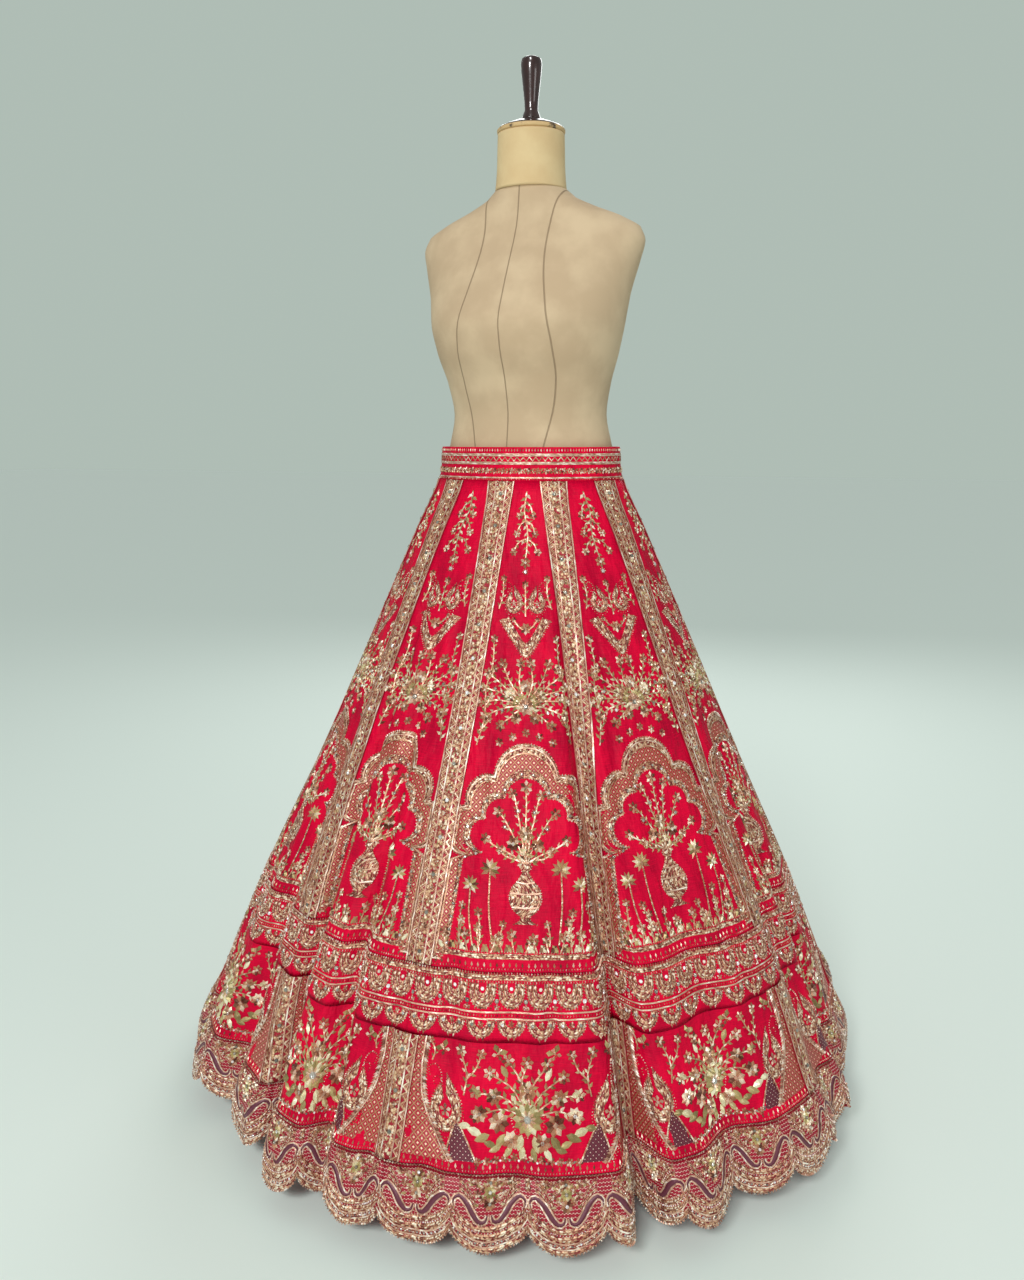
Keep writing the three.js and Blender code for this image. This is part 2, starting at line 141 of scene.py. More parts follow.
class Hang:
    """One panel as it hangs: a fine grid of points and normals, found by its width share and its fall."""
    ROWS, COLUMNS = 150, 120

    def __init__(self, panel):
        self.falls = np.linspace(fall_at(WAIST_TOP), fall_at(LOWEST), self.ROWS)
        heights = height_at(self.falls)
        share = np.clip((WAIST_BOTTOM - heights) / (WAIST_BOTTOM - HEM_CUSP), 0, 1)
        start, end = (waist + (hem - waist) * share for waist, hem in SEAM_ANGLES[panel:panel + 2])
        fine = start[:, None] + (end - start)[:, None] * np.linspace(0, 1, 241)
        ring = on_skirt(fine, heights[:, None])
        steps = np.linalg.norm(np.diff(ring, axis=1), axis=2)
        along = np.concatenate([np.zeros((self.ROWS, 1)), np.cumsum(steps, 1)], 1)
        wanted = np.linspace(0, 1, self.COLUMNS)
        angles = np.array([np.interp(wanted * a[-1], a, f) for a, f in zip(along, fine)])
        self.points = on_skirt(angles, heights[:, None])
        across = on_skirt(angles + 0.25, heights[:, None]) - on_skirt(angles - 0.25, heights[:, None])
        down = on_skirt(angles, heights[:, None] - 3) - on_skirt(angles, heights[:, None] + 3)
        normals = np.cross(down, across)
        self.normals = normals / np.linalg.norm(normals, axis=2, keepdims=True)

    def at(self, share, fall, lift=0.0):
        """Points at a share of the width and a fall in millimetres, lifted off the cloth."""
        r = np.clip((fall - self.falls[0]) / (self.falls[1] - self.falls[0]), 0, self.ROWS - 1.001)
        c = np.clip(share * (self.COLUMNS - 1), 0, self.COLUMNS - 1.001)
        i, j = r.astype(int), c.astype(int)
        u, v = (r - i)[..., None], (c - j)[..., None]
        point, normal = (
            (g[i, j] * (1 - v) + g[i, j + 1] * v) * (1 - u)
            + (g[i + 1, j] * (1 - v) + g[i + 1, j + 1] * v) * u
            for g in (self.points, self.normals))
        return point + normal * np.asarray(lift)[..., None]

    def lay(self, flat):
        """Lays flat work, with x across, y up from the waist and z off the cloth, on the hanging panel."""
        fall = -flat[:, 1]
        return self.at(flat[:, 0] / panel_width(fall) + 0.5, fall, flat[:, 2])


hangs = [Hang(panel) for panel in range(PANELS)]


class Seam:
    """The strip of cloth along a seam, half on each of the two panels, with x counted from the seam."""

    def __init__(self, seam):
        self.left, self.right = hangs[seam - 1], hangs[seam]

    def lay(self, flat):
        share = flat[:, 0] / panel_width(-flat[:, 1])
        on_left = self.left.at(np.minimum(share, 0) + 1, -flat[:, 1], flat[:, 2])
        on_right = self.right.at(np.maximum(share, 0), -flat[:, 1], flat[:, 2])
        return np.where(flat[:, :1] < 0, on_left, on_right)


# ---- Silk panels ----
# Ten kalis of crimson raw silk, about 2 mm thick with their backing, cut with four scallops each at the hem.
# Its slubbed face is softly rumpled and varies to a deeper crimson, partly in its slubs and partly as painted
# shade in the troughs of the rumples.

CLOTH = 2.0
EDGE = 0.15  # half the gap at a seam
PANEL_ROWS, PANEL_COLUMNS, HEM_ROWS = 62, 41, 6


def shell(under, rows, columns):
    """Faces of a wall between a grid whose rows go down and columns go right, and the same grid inside it."""
    index = np.arange(rows * columns).reshape(rows, columns)
    outer = np.stack([index[:-1, :-1], index[1:, :-1], index[1:, 1:], index[:-1, 1:]], -1).reshape(-1, 4)
    rim = np.concatenate([index[:, 0], index[-1, 1:], index[-2::-1, -1], index[0, -2::-1]])
    sides = np.stack([rim[:-1], rim[:-1] + under, rim[1:] + under, rim[1:]], 1)
    return np.concatenate([outer, outer[:, ::-1] + under, sides])


class Faces:
    """Loose faces of one finish: points in millimetres, corners, corners per face, and at each point its
    glint and its place on the cloth."""

    def __init__(self, finish, points, corners, counts, glint=None, cloth=None):
        self.finish, self.points, self.corners, self.counts = finish, points, corners, counts
        self.glint = np.full(len(points), 0.5) if glint is None else glint
        self.cloth = points[:, :2] if cloth is None else cloth

    def laid(self, lay, mirrored=False):
        """The same faces laid on a hang, or the other way round on it."""
        flat, corners, counts = self.points, self.corners, self.counts
        if mirrored:
            flat = flat * (-1, 1, 1)
            corners, counts = corners[::-1], counts[::-1]
        return Faces(self.finish, lay(flat), corners, counts, self.glint, self.cloth)


def quads(finish, points, faces, cloth=None):
    return Faces(finish, points, faces.ravel(), np.full(len(faces), 4), cloth=cloth)


def piece_of(name, batches, smooth=True):
    """One mesh object of several batches of faces, each with its own finish."""
    mesh = bpy.data.meshes.new(name)
    finishes = list(dict.fromkeys(batch.finish for batch in batches))
    for finish in finishes:
        mesh.materials.append(FINISHES[finish])
    starts = np.cumsum([0] + [len(batch.points) for batch in batches])[:-1]
    corners = np.concatenate([batch.corners + start for batch, start in zip(batches, starts)])
    counts = np.concatenate([batch.counts for batch in batches])
    slots = np.concatenate([np.full(len(batch.counts), finishes.index(batch.finish)) for batch in batches])
    points = np.concatenate([batch.points for batch in batches]) * MM
    mesh.vertices.add(len(points))
    mesh.vertices.foreach_set("co", points.astype(np.float32).ravel())
    mesh.loops.add(len(corners))
    mesh.loops.foreach_set("vertex_index", corners.astype(np.int32))
    mesh.polygons.add(len(counts))
    mesh.polygons.foreach_set("loop_start", np.concatenate([[0], np.cumsum(counts)[:-1]]).astype(np.int32))
    mesh.polygons.foreach_set("material_index", slots.astype(np.int32))
    mesh.polygons.foreach_set("use_smooth", np.full(len(counts), smooth))
    glint = mesh.attributes.new("glint", "FLOAT", "POINT")
    glint.data.foreach_set("value", np.concatenate([batch.glint for batch in batches]).astype(np.float32))
    cloth = np.concatenate([batch.cloth for batch in batches])[corners] * MM
    mesh.uv_layers.new(name="cloth").uv.foreach_set("vector", cloth.astype(np.float32).ravel())
    mesh.update(calc_edges=True)
    piece = bpy.data.objects.new(name, mesh)
    bpy.context.scene.collection.objects.link(piece)
    return piece


class Level:
    """A number that changes over a surface. Arithmetic on it adds Math nodes."""

    def __init__(self, surface, socket):
        self.surface, self.socket = surface, socket

    def math(self, operation, *others):
        values = {i: value for i, value in enumerate((self, *others))}
        return self.surface.level("ShaderNodeMath", {"operation": operation}, values)

    def __add__(self, other):
        return self.math("ADD", other)

    __radd__ = __add__

    def __mul__(self, other):
        return self.math("MULTIPLY", other)

    __rmul__ = __mul__

    def __sub__(self, other):
        return self.math("SUBTRACT", other)

    def __rsub__(self, other):
        return (self * -1) + other

    def __truediv__(self, other):
        return self.math("DIVIDE", other)

    def __abs__(self):
        return self.math("ABSOLUTE")

    def wave(self, pitch):
        """Rises and falls between 0 and 1 once in each pitch."""
        return (self * (2 * math.pi / pitch)).math("COSINE") * 0.5 + 0.5

    def swing(self, pitch):
        """Runs straight up and down between 0 and 1 in each pitch."""
        return self.math("PINGPONG", pitch / 2) / (pitch / 2)

    def over(self, low, high):
        """0 below the low value, 1 above the high one, smooth between; or the other way round."""
        sockets = {"Value": self, "From Min": min(low, high), "From Max": max(low, high)}
        rise = self.surface.level("ShaderNodeMapRange", {"interpolation_type": "SMOOTHSTEP"}, sockets)
        return rise if low < high else 1 - rise

    def most(self, other):
        return self.math("MAXIMUM", other)

    def least(self, other):
        return self.math("MINIMUM", other)


class Surface:
    """A finish under construction. Every node comes from its node method."""

    def __init__(self, name, metallic=0.0, roughness=0.5):
        self.material = bpy.data.materials.new(name)
        self.material.use_nodes = True
        self.nodes, self.links = self.material.node_tree.nodes, self.material.node_tree.links
        self.shader = self.nodes["Principled BSDF"]
        self.feed("Metallic", metallic)
        self.feed("Roughness", roughness)

    def join(self, socket, value):
        value = getattr(value, "socket", value)
        if isinstance(value, bpy.types.NodeSocket):
            self.links.new(value, socket)
        else:
            socket.default_value = value

    def feed(self, socket, value):
        self.join(self.shader.inputs[socket], value)

    def node(self, kind, settings, sockets):
        made = self.nodes.new(kind)
        for name, value in settings.items():
            if name == "stops":
                while len(made.color_ramp.elements) < len(value):
                    made.color_ramp.elements.new(1)
                for element, (place, colour) in zip(made.color_ramp.elements, value):
                    element.position, element.color = place, (*colour, 1)
            else:
                setattr(made, name, value)
        for name, value in sockets.items():
            self.join(made.inputs[name], value)
        return made

    def level(self, kind, settings, sockets, output=0):
        return Level(self, self.node(kind, settings, sockets).outputs[output])

    def along(self):
        """Across and down the cloth, in millimetres."""
        place = self.node("ShaderNodeUVMap", {"uv_map": "cloth"}, {})
        parts = self.node("ShaderNodeSeparateXYZ", {}, {0: place.outputs[0]})
        return Level(self, parts.outputs[0]) * 1000, Level(self, parts.outputs[1]) * 1000

    def point(self, x, y, z=0.0):
        return self.node("ShaderNodeCombineXYZ", {}, {0: x, 1: y, 2: z}).outputs[0]

    def noise(self, vector, scale=1.0, detail=2.0):
        sockets = {"Vector": vector, "Scale": scale, "Detail": detail}
        return self.level("ShaderNodeTexNoise", {}, sockets)

    def ramp(self, level, *stops):
        return self.node("ShaderNodeValToRGB", {"stops": stops}, {0: level}).outputs[0]

    def mix(self, mask, below, above):
        """The colour below where the mask is 0, the one above where it is 1."""
        made = self.node("ShaderNodeMix", {"data_type": "RGBA"}, {0: mask})
        for place, colour in ((6, below), (7, above)):
            self.join(made.inputs[place], (*colour, 1) if isinstance(colour, tuple) else colour)
        return made.outputs[2]

    def relief(self, level, height):
        """Raises the surface by a level, to a height in millimetres."""
        bump = self.node("ShaderNodeBump", {}, {"Height": level, "Distance": height * MM, "Strength": 1.0})
        self.feed("Normal", bump.outputs[0])


FINISHES = {}
CRIMSON = (0.80, 0.001, 0.040)
CRIMSON_SLUBS_AND_SHADE = (0.36, 0.001, 0.024)

silk = Surface("crimson_silk", roughness=0.5)
across, down = silk.along()
slubs = silk.noise(silk.point(across * 0.05, down * 1.1), detail=3.0)
threads = silk.noise(silk.point(across * 1.4, down * 0.08), detail=2.0)
cloud = silk.noise(silk.point(across * 0.012, down * 0.008), detail=2.0)
rumple = silk.noise(silk.point(across * 0.045, down * 0.02), detail=3.0)
# The deeper crimson mixes the slubs' own tone with painted shade where the rumples sink.
slubs_and_shade = (slubs * 0.5 + cloud * 0.5 + rumple * 0.35 + threads * 0.2).over(0.5, 1.0)
silk.feed("Base Color", silk.mix(slubs_and_shade, CRIMSON_SLUBS_AND_SHADE, CRIMSON))
silk.feed("Roughness", 0.4 + threads * 0.2)
silk.feed("Sheen Weight", 0.06)
silk.feed("Sheen Roughness", 0.4)
silk.feed("Sheen Tint", (1.0, 0.03, 0.15, 1))
silk.feed("Specular IOR Level", 0.07)
silk.relief(rumple * 9 + slubs * 0.25 + threads * 0.15, 1.0)
FINISHES["silk"] = silk.material


def silk_panel(panel):
    share = np.linspace(0, 1, PANEL_COLUMNS)
    straight = np.linspace(0, fall_at(HEM_BORDER_TOP), PANEL_ROWS - HEM_ROWS)
    hem = fall_at(HEM_CUSP - scallop(share))
    lower = np.linspace(0, 1, HEM_ROWS + 1)[1:, None]
    upper = np.repeat(straight[:, None], PANEL_COLUMNS, 1)
    falls = np.concatenate([upper, straight[-1] + (hem - straight[-1]) * lower])
    width = panel_width(falls)
    shares = 0.5 + (np.repeat(share[None], PANEL_ROWS, 0) - 0.5) * (1 - 2 * EDGE / width)
    faces_of = (hangs[panel].at(shares, falls, np.full(falls.shape, lift)) for lift in (0, -CLOTH))
    points = [face.reshape(-1, 3) for face in faces_of]
    cloth = np.stack([(shares - 0.5) * width, -falls], -1).reshape(-1, 2)
    faces = shell(len(points[0]), PANEL_ROWS, PANEL_COLUMNS)
    batch = quads("silk", np.concatenate(points), faces, np.tile(cloth, (2, 1)))
    return piece_of(f"silk_panel_{panel + 1:02d}", [batch])


for panel in range(PANELS):
    piece = silk_panel(panel)
    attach(piece, "root")
    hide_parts(f"panel_{panel + 1:02d}")

# ---- Needlework ----
# Gold zardozi: wire cord and bead rows couched along drawn lines, with leaves, petals and glass stones sewn
# between them. It is drawn flat on the cut cloth, raised by three recipes, and then laid on the hang.

# The darkest gold is painted shade and the brightest a painted glint; only the middle one is the metal's
# colour.
GOLD_SHADE, GOLD, GOLD_GLINT = (0.10, 0.022, 0.014), (0.54, 0.265, 0.15), (1.0, 0.89, 0.70)


def thread_finish(name, dark, middle, bright, metallic=0.35, roughness=0.38, coat=0.0):
    """A finish whose colour runs at random, from bead to bead and along a cord from turn to turn, from a
    painted shade through its own colour to a painted glint.
    """
    finish = Surface(name, metallic, roughness)
    glint = finish.level("ShaderNodeAttribute", {"attribute_name": "glint"}, {}, 2)
    place = finish.node("ShaderNodeTexCoord", {}, {}).outputs["Object"]
    grain = finish.noise(place, scale=900.0, detail=1.0)
    tone = glint * 0.75 + grain * 0.3
    finish.feed("Base Color", finish.ramp(tone, (0.14, dark), (0.46, middle), (0.62, middle), (0.80, bright)))
    finish.feed("Coat Weight", coat)
    finish.relief(grain, 0.4)
    FINISHES[name] = finish.material


# Each finish below is given as painted shade, its own colour and a painted glint.
thread_finish("gold", GOLD_SHADE, GOLD, GOLD_GLINT)
thread_finish("pale_gold", (0.20, 0.07, 0.045), (0.66, 0.39, 0.27), (1.0, 0.92, 0.79))
thread_finish("leaf", (0.22, 0.17, 0.06), (0.56, 0.45, 0.20), (0.93, 0.88, 0.62))
thread_finish("mauve_thread", (0.06, 0.008, 0.02), (0.14, 0.028, 0.05), (0.34, 0.15, 0.18), metallic=0.1)
thread_finish("pearl", (0.55, 0.40, 0.32), (0.9, 0.78, 0.66), (1.0, 1.0, 1.0), metallic=0.0, roughness=0.25)
thread_finish("stone", (0.12, 0.11, 0.09), (0.38, 0.36, 0.30), (1.0, 1.0, 1.0), metallic=0.3, roughness=0.12,
              coat=1.0)


class Recipe:
    """A Geometry Nodes tree under construction, with named inputs."""

    def __init__(self, name, **inputs):
        self.tree = bpy.data.node_groups.new(name, "GeometryNodeTree")
        self.tree.is_modifier = True
        self.tree.interface.new_socket("Geometry", in_out="INPUT", socket_type="NodeSocketGeometry")
        self.sockets = {}
        for label, kind in inputs.items():
            socket = self.tree.interface.new_socket(label, in_out="INPUT", socket_type="NodeSocket" + kind)
            self.sockets[label] = socket.identifier
        self.tree.interface.new_socket("Geometry", in_out="OUTPUT", socket_type="NodeSocketGeometry")
        self.given = self.tree.nodes.new("NodeGroupInput").outputs

    def node(self, kind, settings, sockets):
        """Adds a node and gives back its outputs."""
        made = self.tree.nodes.new(kind)
        for name, value in settings.items():
            setattr(made, name, value)
        for name, value in sockets.items():
            if isinstance(value, bpy.types.NodeSocket):
                self.tree.links.new(value, made.inputs[name])
            else:
                made.inputs[name].default_value = value
        return made.outputs

    def measure(self, name):
        return self.node("GeometryNodeInputNamedAttribute", {"data_type": "FLOAT"}, {"Name": name})[0]

    def sewn(self, points, rotation):
        """A motif on every point, each with a glint of its own, as one mesh of the chosen finish."""
        motif = self.node("GeometryNodeObjectInfo", {}, {"Object": self.given["Motif"]})
        places = self.node("GeometryNodeInstanceOnPoints", {}, {
            "Points": points, "Instance": motif["Geometry"], "Rotation": rotation,
            "Scale": self.measure("size")})
        luck = self.node("FunctionNodeRandomValue", {"data_type": "FLOAT"}, {"Seed": self.given["Seed"]})
        self.done(self.node("GeometryNodeStoreNamedAttribute", {"data_type": "FLOAT", "domain": "INSTANCE"}, {
            "Geometry": places[0], "Name": "glint", "Value": luck[1]})[0])

    def done(self, geometry):
        whole = self.node("GeometryNodeRealizeInstances", {}, {"Geometry": geometry})[0]
        sockets = {"Geometry": whole, "Material": self.given["Finish"]}
        result = self.node("GeometryNodeSetMaterial", {}, sockets)[0]
        self.tree.links.new(result, self.tree.nodes.new("NodeGroupOutput").inputs["Geometry"])

    def made_from(self, points, edges, measures, **inputs):
        """The faces that the recipe makes of drawn points and the edges between them."""
        mesh = bpy.data.meshes.new("drawing")
        mesh.from_pydata(points.tolist(), edges, [])
        for name, values in measures.items():
            attribute = mesh.attributes.new(name, "FLOAT", "POINT")
            attribute.data.foreach_set("value", np.asarray(values, np.float32))
        drawing = bpy.data.objects.new("drawing", mesh)
        bpy.context.scene.collection.objects.link(drawing)
        modifier = drawing.modifiers.new("recipe", "NODES")
        modifier.node_group = self.tree
        for label, value in inputs.items():
            modifier[self.sockets[label]] = value
        depsgraph = bpy.context.evaluated_depsgraph_get()
        result = bpy.data.meshes.new_from_object(drawing.evaluated_get(depsgraph), depsgraph=depsgraph)
        co = np.zeros(len(result.vertices) * 3, np.float32)
        result.vertices.foreach_get("co", co)
        corners = np.zeros(len(result.loops), np.int32)
        result.loops.foreach_get("vertex_index", corners)
        counts = np.zeros(len(result.polygons), np.int32)
        result.polygons.foreach_get("loop_total", counts)
        glint = np.random.default_rng(len(corners)).random(len(result.vertices))
        if "glint" in result.attributes:
            glint = np.zeros(len(result.vertices), np.float32)
            result.attributes["glint"].data.foreach_get("value", glint)
        bpy.data.objects.remove(drawing)
        bpy.data.meshes.remove(mesh)
        bpy.data.meshes.remove(result)
        return Faces(inputs["Finish"].name, co.reshape(-1, 3).astype(float), corners, counts, glint)


APEX = 90.0  # turns the cord's three-sided section so that one edge is on top
CORD_SIDES, CORD_RADIUS = 3, 1.15
couched = Recipe("couched_cord", Finish="Material")
line = couched.node("GeometryNodeMeshToCurve", {}, {"Mesh": couched.given["Geometry"]})[0]
line = couched.node("GeometryNodeSetCurveNormal", {"mode": "Z_UP"}, {"Curve": line})[0]
line = couched.node("GeometryNodeSetCurveRadius", {}, {"Curve": line, "Radius": couched.measure("size")})[0]
section = {"Resolution": CORD_SIDES, "Radius": CORD_RADIUS}
ring = couched.node("GeometryNodeCurvePrimitiveCircle", {"mode": "RADIUS"}, section)[0]
turned = {"Geometry": ring, "Rotation": (0, 0, math.radians(APEX))}
ring = couched.node("GeometryNodeTransform", {}, turned)[0]
swept = {"Curve": line, "Profile Curve": ring, "Fill Caps": True}
couched.done(couched.node("GeometryNodeCurveToMesh", {}, swept)[0])

strung = Recipe("strung_beads", Motif="Object", Seed="Int", Finish="Material")
line = strung.node("GeometryNodeMeshToCurve", {}, {"Mesh": strung.given["Geometry"]})[0]
spaced = {"Curve": line, "Length": strung.measure("pitch")}
line = strung.node("GeometryNodeResampleCurve", {"mode": "LENGTH"}, spaced)[0]
line = strung.node("GeometryNodeCurveToPoints", {"mode": "EVALUATED"}, {"Curve": line})
strung.sewn(line["Points"], line["Rotation"])

sewn_on = Recipe("sewn_on", Motif="Object", Seed="Int", Finish="Material")
stitches = sewn_on.node("GeometryNodeMeshToPoints", {}, {"Mesh": sewn_on.given["Geometry"]})[0]
turned_to = sewn_on.node("ShaderNodeCombineXYZ", {}, {2: sewn_on.measure("turn")})[0]
sewn_on.sewn(stitches, turned_to)


def motif(name, points, faces):
    mesh = bpy.data.meshes.new(name)
    mesh.from_pydata(points, [], faces)
    return bpy.data.objects.new(name, mesh)


def ringed(radius, height, sides=6):
    turns = [2 * math.pi * i / sides for i in range(sides)]
    return [(radius * math.cos(t), radius * math.sin(t), height) for t in turns]


def between(low, high, sides=6):
    """The quads from one ring of points up to the next."""
    return [(low + i, low + (i + 1) % sides, high + (i + 1) % sides, high + i) for i in range(sides)]


def tufted(name, outline, top):
    """A low motif: an outline counted anticlockwise, drawn up to one raised point."""
    sides = len(outline)
    faces = [(i, (i + 1) % sides, sides) for i in range(sides)] + [tuple(range(sides))[::-1]]
    return motif(name, [(x, y, 0) for x, y in outline] + [top], faces)


MOTIFS = {
    "bead": tufted("bead", [(1, 0), (0, 1), (-1, 0), (0, -1)], (0, 0, 1)),
    "leaf": tufted("leaf", [(0, 0), (0.42, -0.24), (1, 0), (0.42, 0.24)], (0.45, 0, 0.24)),
    "broad_leaf": tufted("broad_leaf", [
        (0, 0), (0.25, -0.2), (0.55, -0.25), (0.85, -0.12), (1, 0), (0.85, 0.12), (0.55, 0.25), (0.25, 0.2)],
        (0.5, 0, 0.2)),
    "petal": tufted("petal", [(0.1, 0), (0.66, -0.3), (1.03, 0), (0.66, 0.3)], (0.6, 0, 0.28)),
    "stone": motif("stone", ringed(1, 0) + ringed(0.95, 0.25) + ringed(0.55, 0.6),
                   [(5, 4, 3, 2, 1, 0), *between(0, 6), *between(6, 12), tuple(range(12, 18))]),
}


def arc(x, y, radius, start, end, step=4.0, squash=1.0):
    """Points round a centre, from one angle to another in degrees, counted anticlockwise from the right."""
    count = int(abs(math.radians(end - start)) * radius / step) + 3
    turn = np.radians(np.linspace(start, end, count))
    return np.stack([x + radius * np.cos(turn), y + radius * squash * np.sin(turn)], 1)


def curve(points, step=4.0):
    """A smooth line through a few points."""
    p = np.asarray(points, float)
    p = np.concatenate([[2 * p[0] - p[1]], p, [2 * p[-1] - p[-2]]])
    line = []
    for before, a, b, after in zip(p, p[1:], p[2:], p[3:]):
        t = np.linspace(0, 1, int(np.linalg.norm(b - a) / step) + 2)[:-1, None]
        line.append(0.5 * (2 * a + (b - before) * t + (2 * before - 5 * a + 4 * b - after) * t ** 2
                           + (3 * a - before - 3 * b + after) * t ** 3))
    return np.concatenate([*line, p[-2:-1]])


def along_line(line, pitch, start=0.0):
    """Places and directions, in degrees, at an even pitch along a line."""
    steps = np.linalg.norm(np.diff(line, axis=0), axis=1)
    far = np.concatenate([[0], np.cumsum(steps)])
    at = np.arange(start, far[-1] + 0.01, pitch)
    x, y = (np.interp(at, far, line[:, i]) for i in (0, 1))
    i = np.clip(np.searchsorted(far, at, side="right") - 1, 0, len(steps) - 1)
    way = line[i + 1] - line[i]
    return np.stack([x, y], 1), np.degrees(np.arctan2(way[:, 1], way[:, 0]))


class Needlework:
    """One drawing: lines to be couched or strung and motifs to be sewn on, above a ground's height."""

    def __init__(self, ground=0.0):
        self.ground = ground
        self.cords, self.strings, self.motifs, self.strips = {}, {}, {}, []

    def cord(self, line, size=0.9, finish="gold", lift=0.7):
        self.cords.setdefault(finish, []).append((np.asarray(line, float), size, 0.0, self.ground + lift))

    def beads(self, line, size=1.3, pitch=3.6, finish="gold", lift=0.9):
        self.strings.setdefault(finish, []).append((np.asarray(line, float), size, pitch, self.ground + lift))

    def sew(self, name, x, y, turn=0.0, size=1.0, finish="gold", lift=0.5):
        self.motifs.setdefault((name, finish), []).append((x, y, self.ground + lift, turn, size))

    def both(self, draw):
        """Draws the same thing on the right and mirrored on the left."""
        for side in (1, -1):
            draw(side)

    def rosette(self, x, y, size, petals=6, turn=15.0, finish="gold", heart="pale_gold"):
        for k in range(petals):
            self.sew("petal", x, y, turn + 360 * k / petals, size, finish)
        self.sew("bead", x, y, 0, size * 0.3, heart, lift=1.3)

    def jewel(self, x, y, size):
        """A glass stone in a ring of beads."""
        self.sew("stone", x, y, 0, size, "stone", lift=0.9)
        self.beads(arc(x, y, size + 1.1, 0, 352, step=2.0), 1.0, 3.0)

    def sprig(self, points, leaf=8.0, pitch=6.5, flower=7.0, finish="gold", leaves="leaf"):
        """A stem with leaves to the left and right of it in turn and a flower on its end."""
        line = curve(points)
        self.cord(line, 0.75, finish)
        places, ways = along_line(line, pitch, start=pitch * 0.7)
        for i, ((x, y), way) in enumerate(zip(places, ways)):
            length = leaf * (1 - 0.35 * i / len(ways))
            self.sew("leaf", x, y, way + (48 if i % 2 else -48), length, leaves if i % 3 else finish)
        if flower:
            self.rosette(*line[-1], flower, turn=ways[-1], finish=finish)
        else:
            self.sew("leaf", *line[-1], ways[-1], leaf, leaves)

    def strip(self, finish, one, other, lift=0.9, rows=2, run=True, foot=0.05):
        """A worked band between two lines of as many points: a crowned top on a flat underside. Its place on
        the cloth is counted along it, or across and down the panel."""
        one, other = np.asarray(one, float), np.asarray(other, float)
        share = np.linspace(0, 1, rows + 1)[None, :, None]
        flat = one[:, None] * (1 - share) + other[:, None] * share
        height = self.ground + np.where((share == 0) | (share == 1), foot, lift)
        height = np.broadcast_to(height, flat.shape[:2] + (1,))
        points = np.concatenate([flat, height], -1).reshape(-1, 3)
        index = np.arange(len(points)).reshape(len(one), rows + 1)
        top = np.stack([index[:-1, :-1], index[1:, :-1], index[1:, 1:], index[:-1, 1:]], -1).reshape(-1, 4)
        under = np.stack([index[:-1, 0], index[:-1, -1], index[1:, -1], index[1:, 0]], -1)
        corners = np.concatenate([top.ravel(), under.ravel(), index[0], index[-1, ::-1]])
        counts = np.concatenate([np.full(len(top) + len(under), 4), [rows + 1, rows + 1]])
        middle = len(one) // 2
        way = np.cross(flat[middle, -1] - flat[middle, 0], flat[middle - 1, 0] - flat[middle, 0])
        if way < 0:
            corners, counts = corners[::-1], counts[::-1]
        cloth = flat
        if run:
            steps = np.linalg.norm(np.diff((one + other) / 2, axis=0), axis=1)
            far = np.concatenate([[0], np.cumsum(steps)])
            width = np.linalg.norm(other - one, axis=1)[:, None] * share[..., 0]
            cloth = np.stack([width, np.broadcast_to(far[:, None], width.shape)], -1)
        self.strips.append(Faces(finish, points, corners, counts, cloth=cloth.reshape(-1, 2)))

    def raised(self):
        """All the work as faces, still flat."""
        batches = list(self.strips)
        for recipe, drawn in ((couched, self.cords), (strung, self.strings)):
            for seed, (finish, lines) in enumerate(drawn.items()):
                raised = [np.column_stack([l, np.full(len(l), lift)]) for l, _, _, lift in lines]
                points = np.concatenate(raised)
                ends = np.cumsum([len(l) for l, *_ in lines])
                starts = ends - [len(l) for l, *_ in lines]
                edges = [(i, i + 1) for a, b in zip(starts, ends) for i in range(a, b - 1)]
                measures = {
                    "size": np.concatenate([np.full(len(l), size) for l, size, *_ in lines]),
                    "pitch": np.concatenate([np.full(len(l), pitch) for l, _, pitch, _ in lines])}
                more = {"Motif": MOTIFS["bead"], "Seed": seed} if recipe is strung else {}
                batches.append(recipe.made_from(points, edges, measures, Finish=FINISHES[finish], **more))
        for seed, ((name, finish), rows) in enumerate(self.motifs.items()):
            rows = np.array(rows, float)
            measures = {"turn": np.radians(rows[:, 3]), "size": rows[:, 4]}
            batches.append(sewn_on.made_from(
                rows[:, :3], [], measures, Motif=MOTIFS[name], Seed=seed, Finish=FINISHES[finish]))
        return batches


# Worked grounds: rows of couched wire, crossed lattice and netting, which fill bands and shapes.

wirework = Surface("wirework", metallic=0.3, roughness=0.42)
across, down = wirework.along()
wires = wirework.point(across, down * 0.8)
cells = wirework.node("ShaderNodeTexVoronoi", {}, {"Vector": wires, "Scale": 0.34})
chance = wirework.level("ShaderNodeSeparateColor", {}, {0: cells.outputs["Color"]})
middle = Level(wirework, cells.outputs["Distance"]).over(0.75, 0.25)
rows = (across + 0.8).wave(3.3)
body = middle * 0.6 + rows * 0.4
# The gold runs from painted shade to painted glint, painted lighter on the crowns of the rows than between
# them.
gold = wirework.ramp(chance * 0.75 + body * 0.3, (0.2, GOLD_SHADE), (0.5, GOLD), (0.74, (0.74, 0.48, 0.29)),
                     (0.9, GOLD_GLINT))
# The silk between the wires is painted a deep crimson as shade.
shaded_gaps = body.over(0.46, 0.22) * chance.over(0.85, 0.5)
wirework.feed("Base Color", wirework.mix(shaded_gaps, gold, (0.26, 0.006, 0.018)))
wirework.relief(body, 0.9)
FINISHES["wirework"] = wirework.material


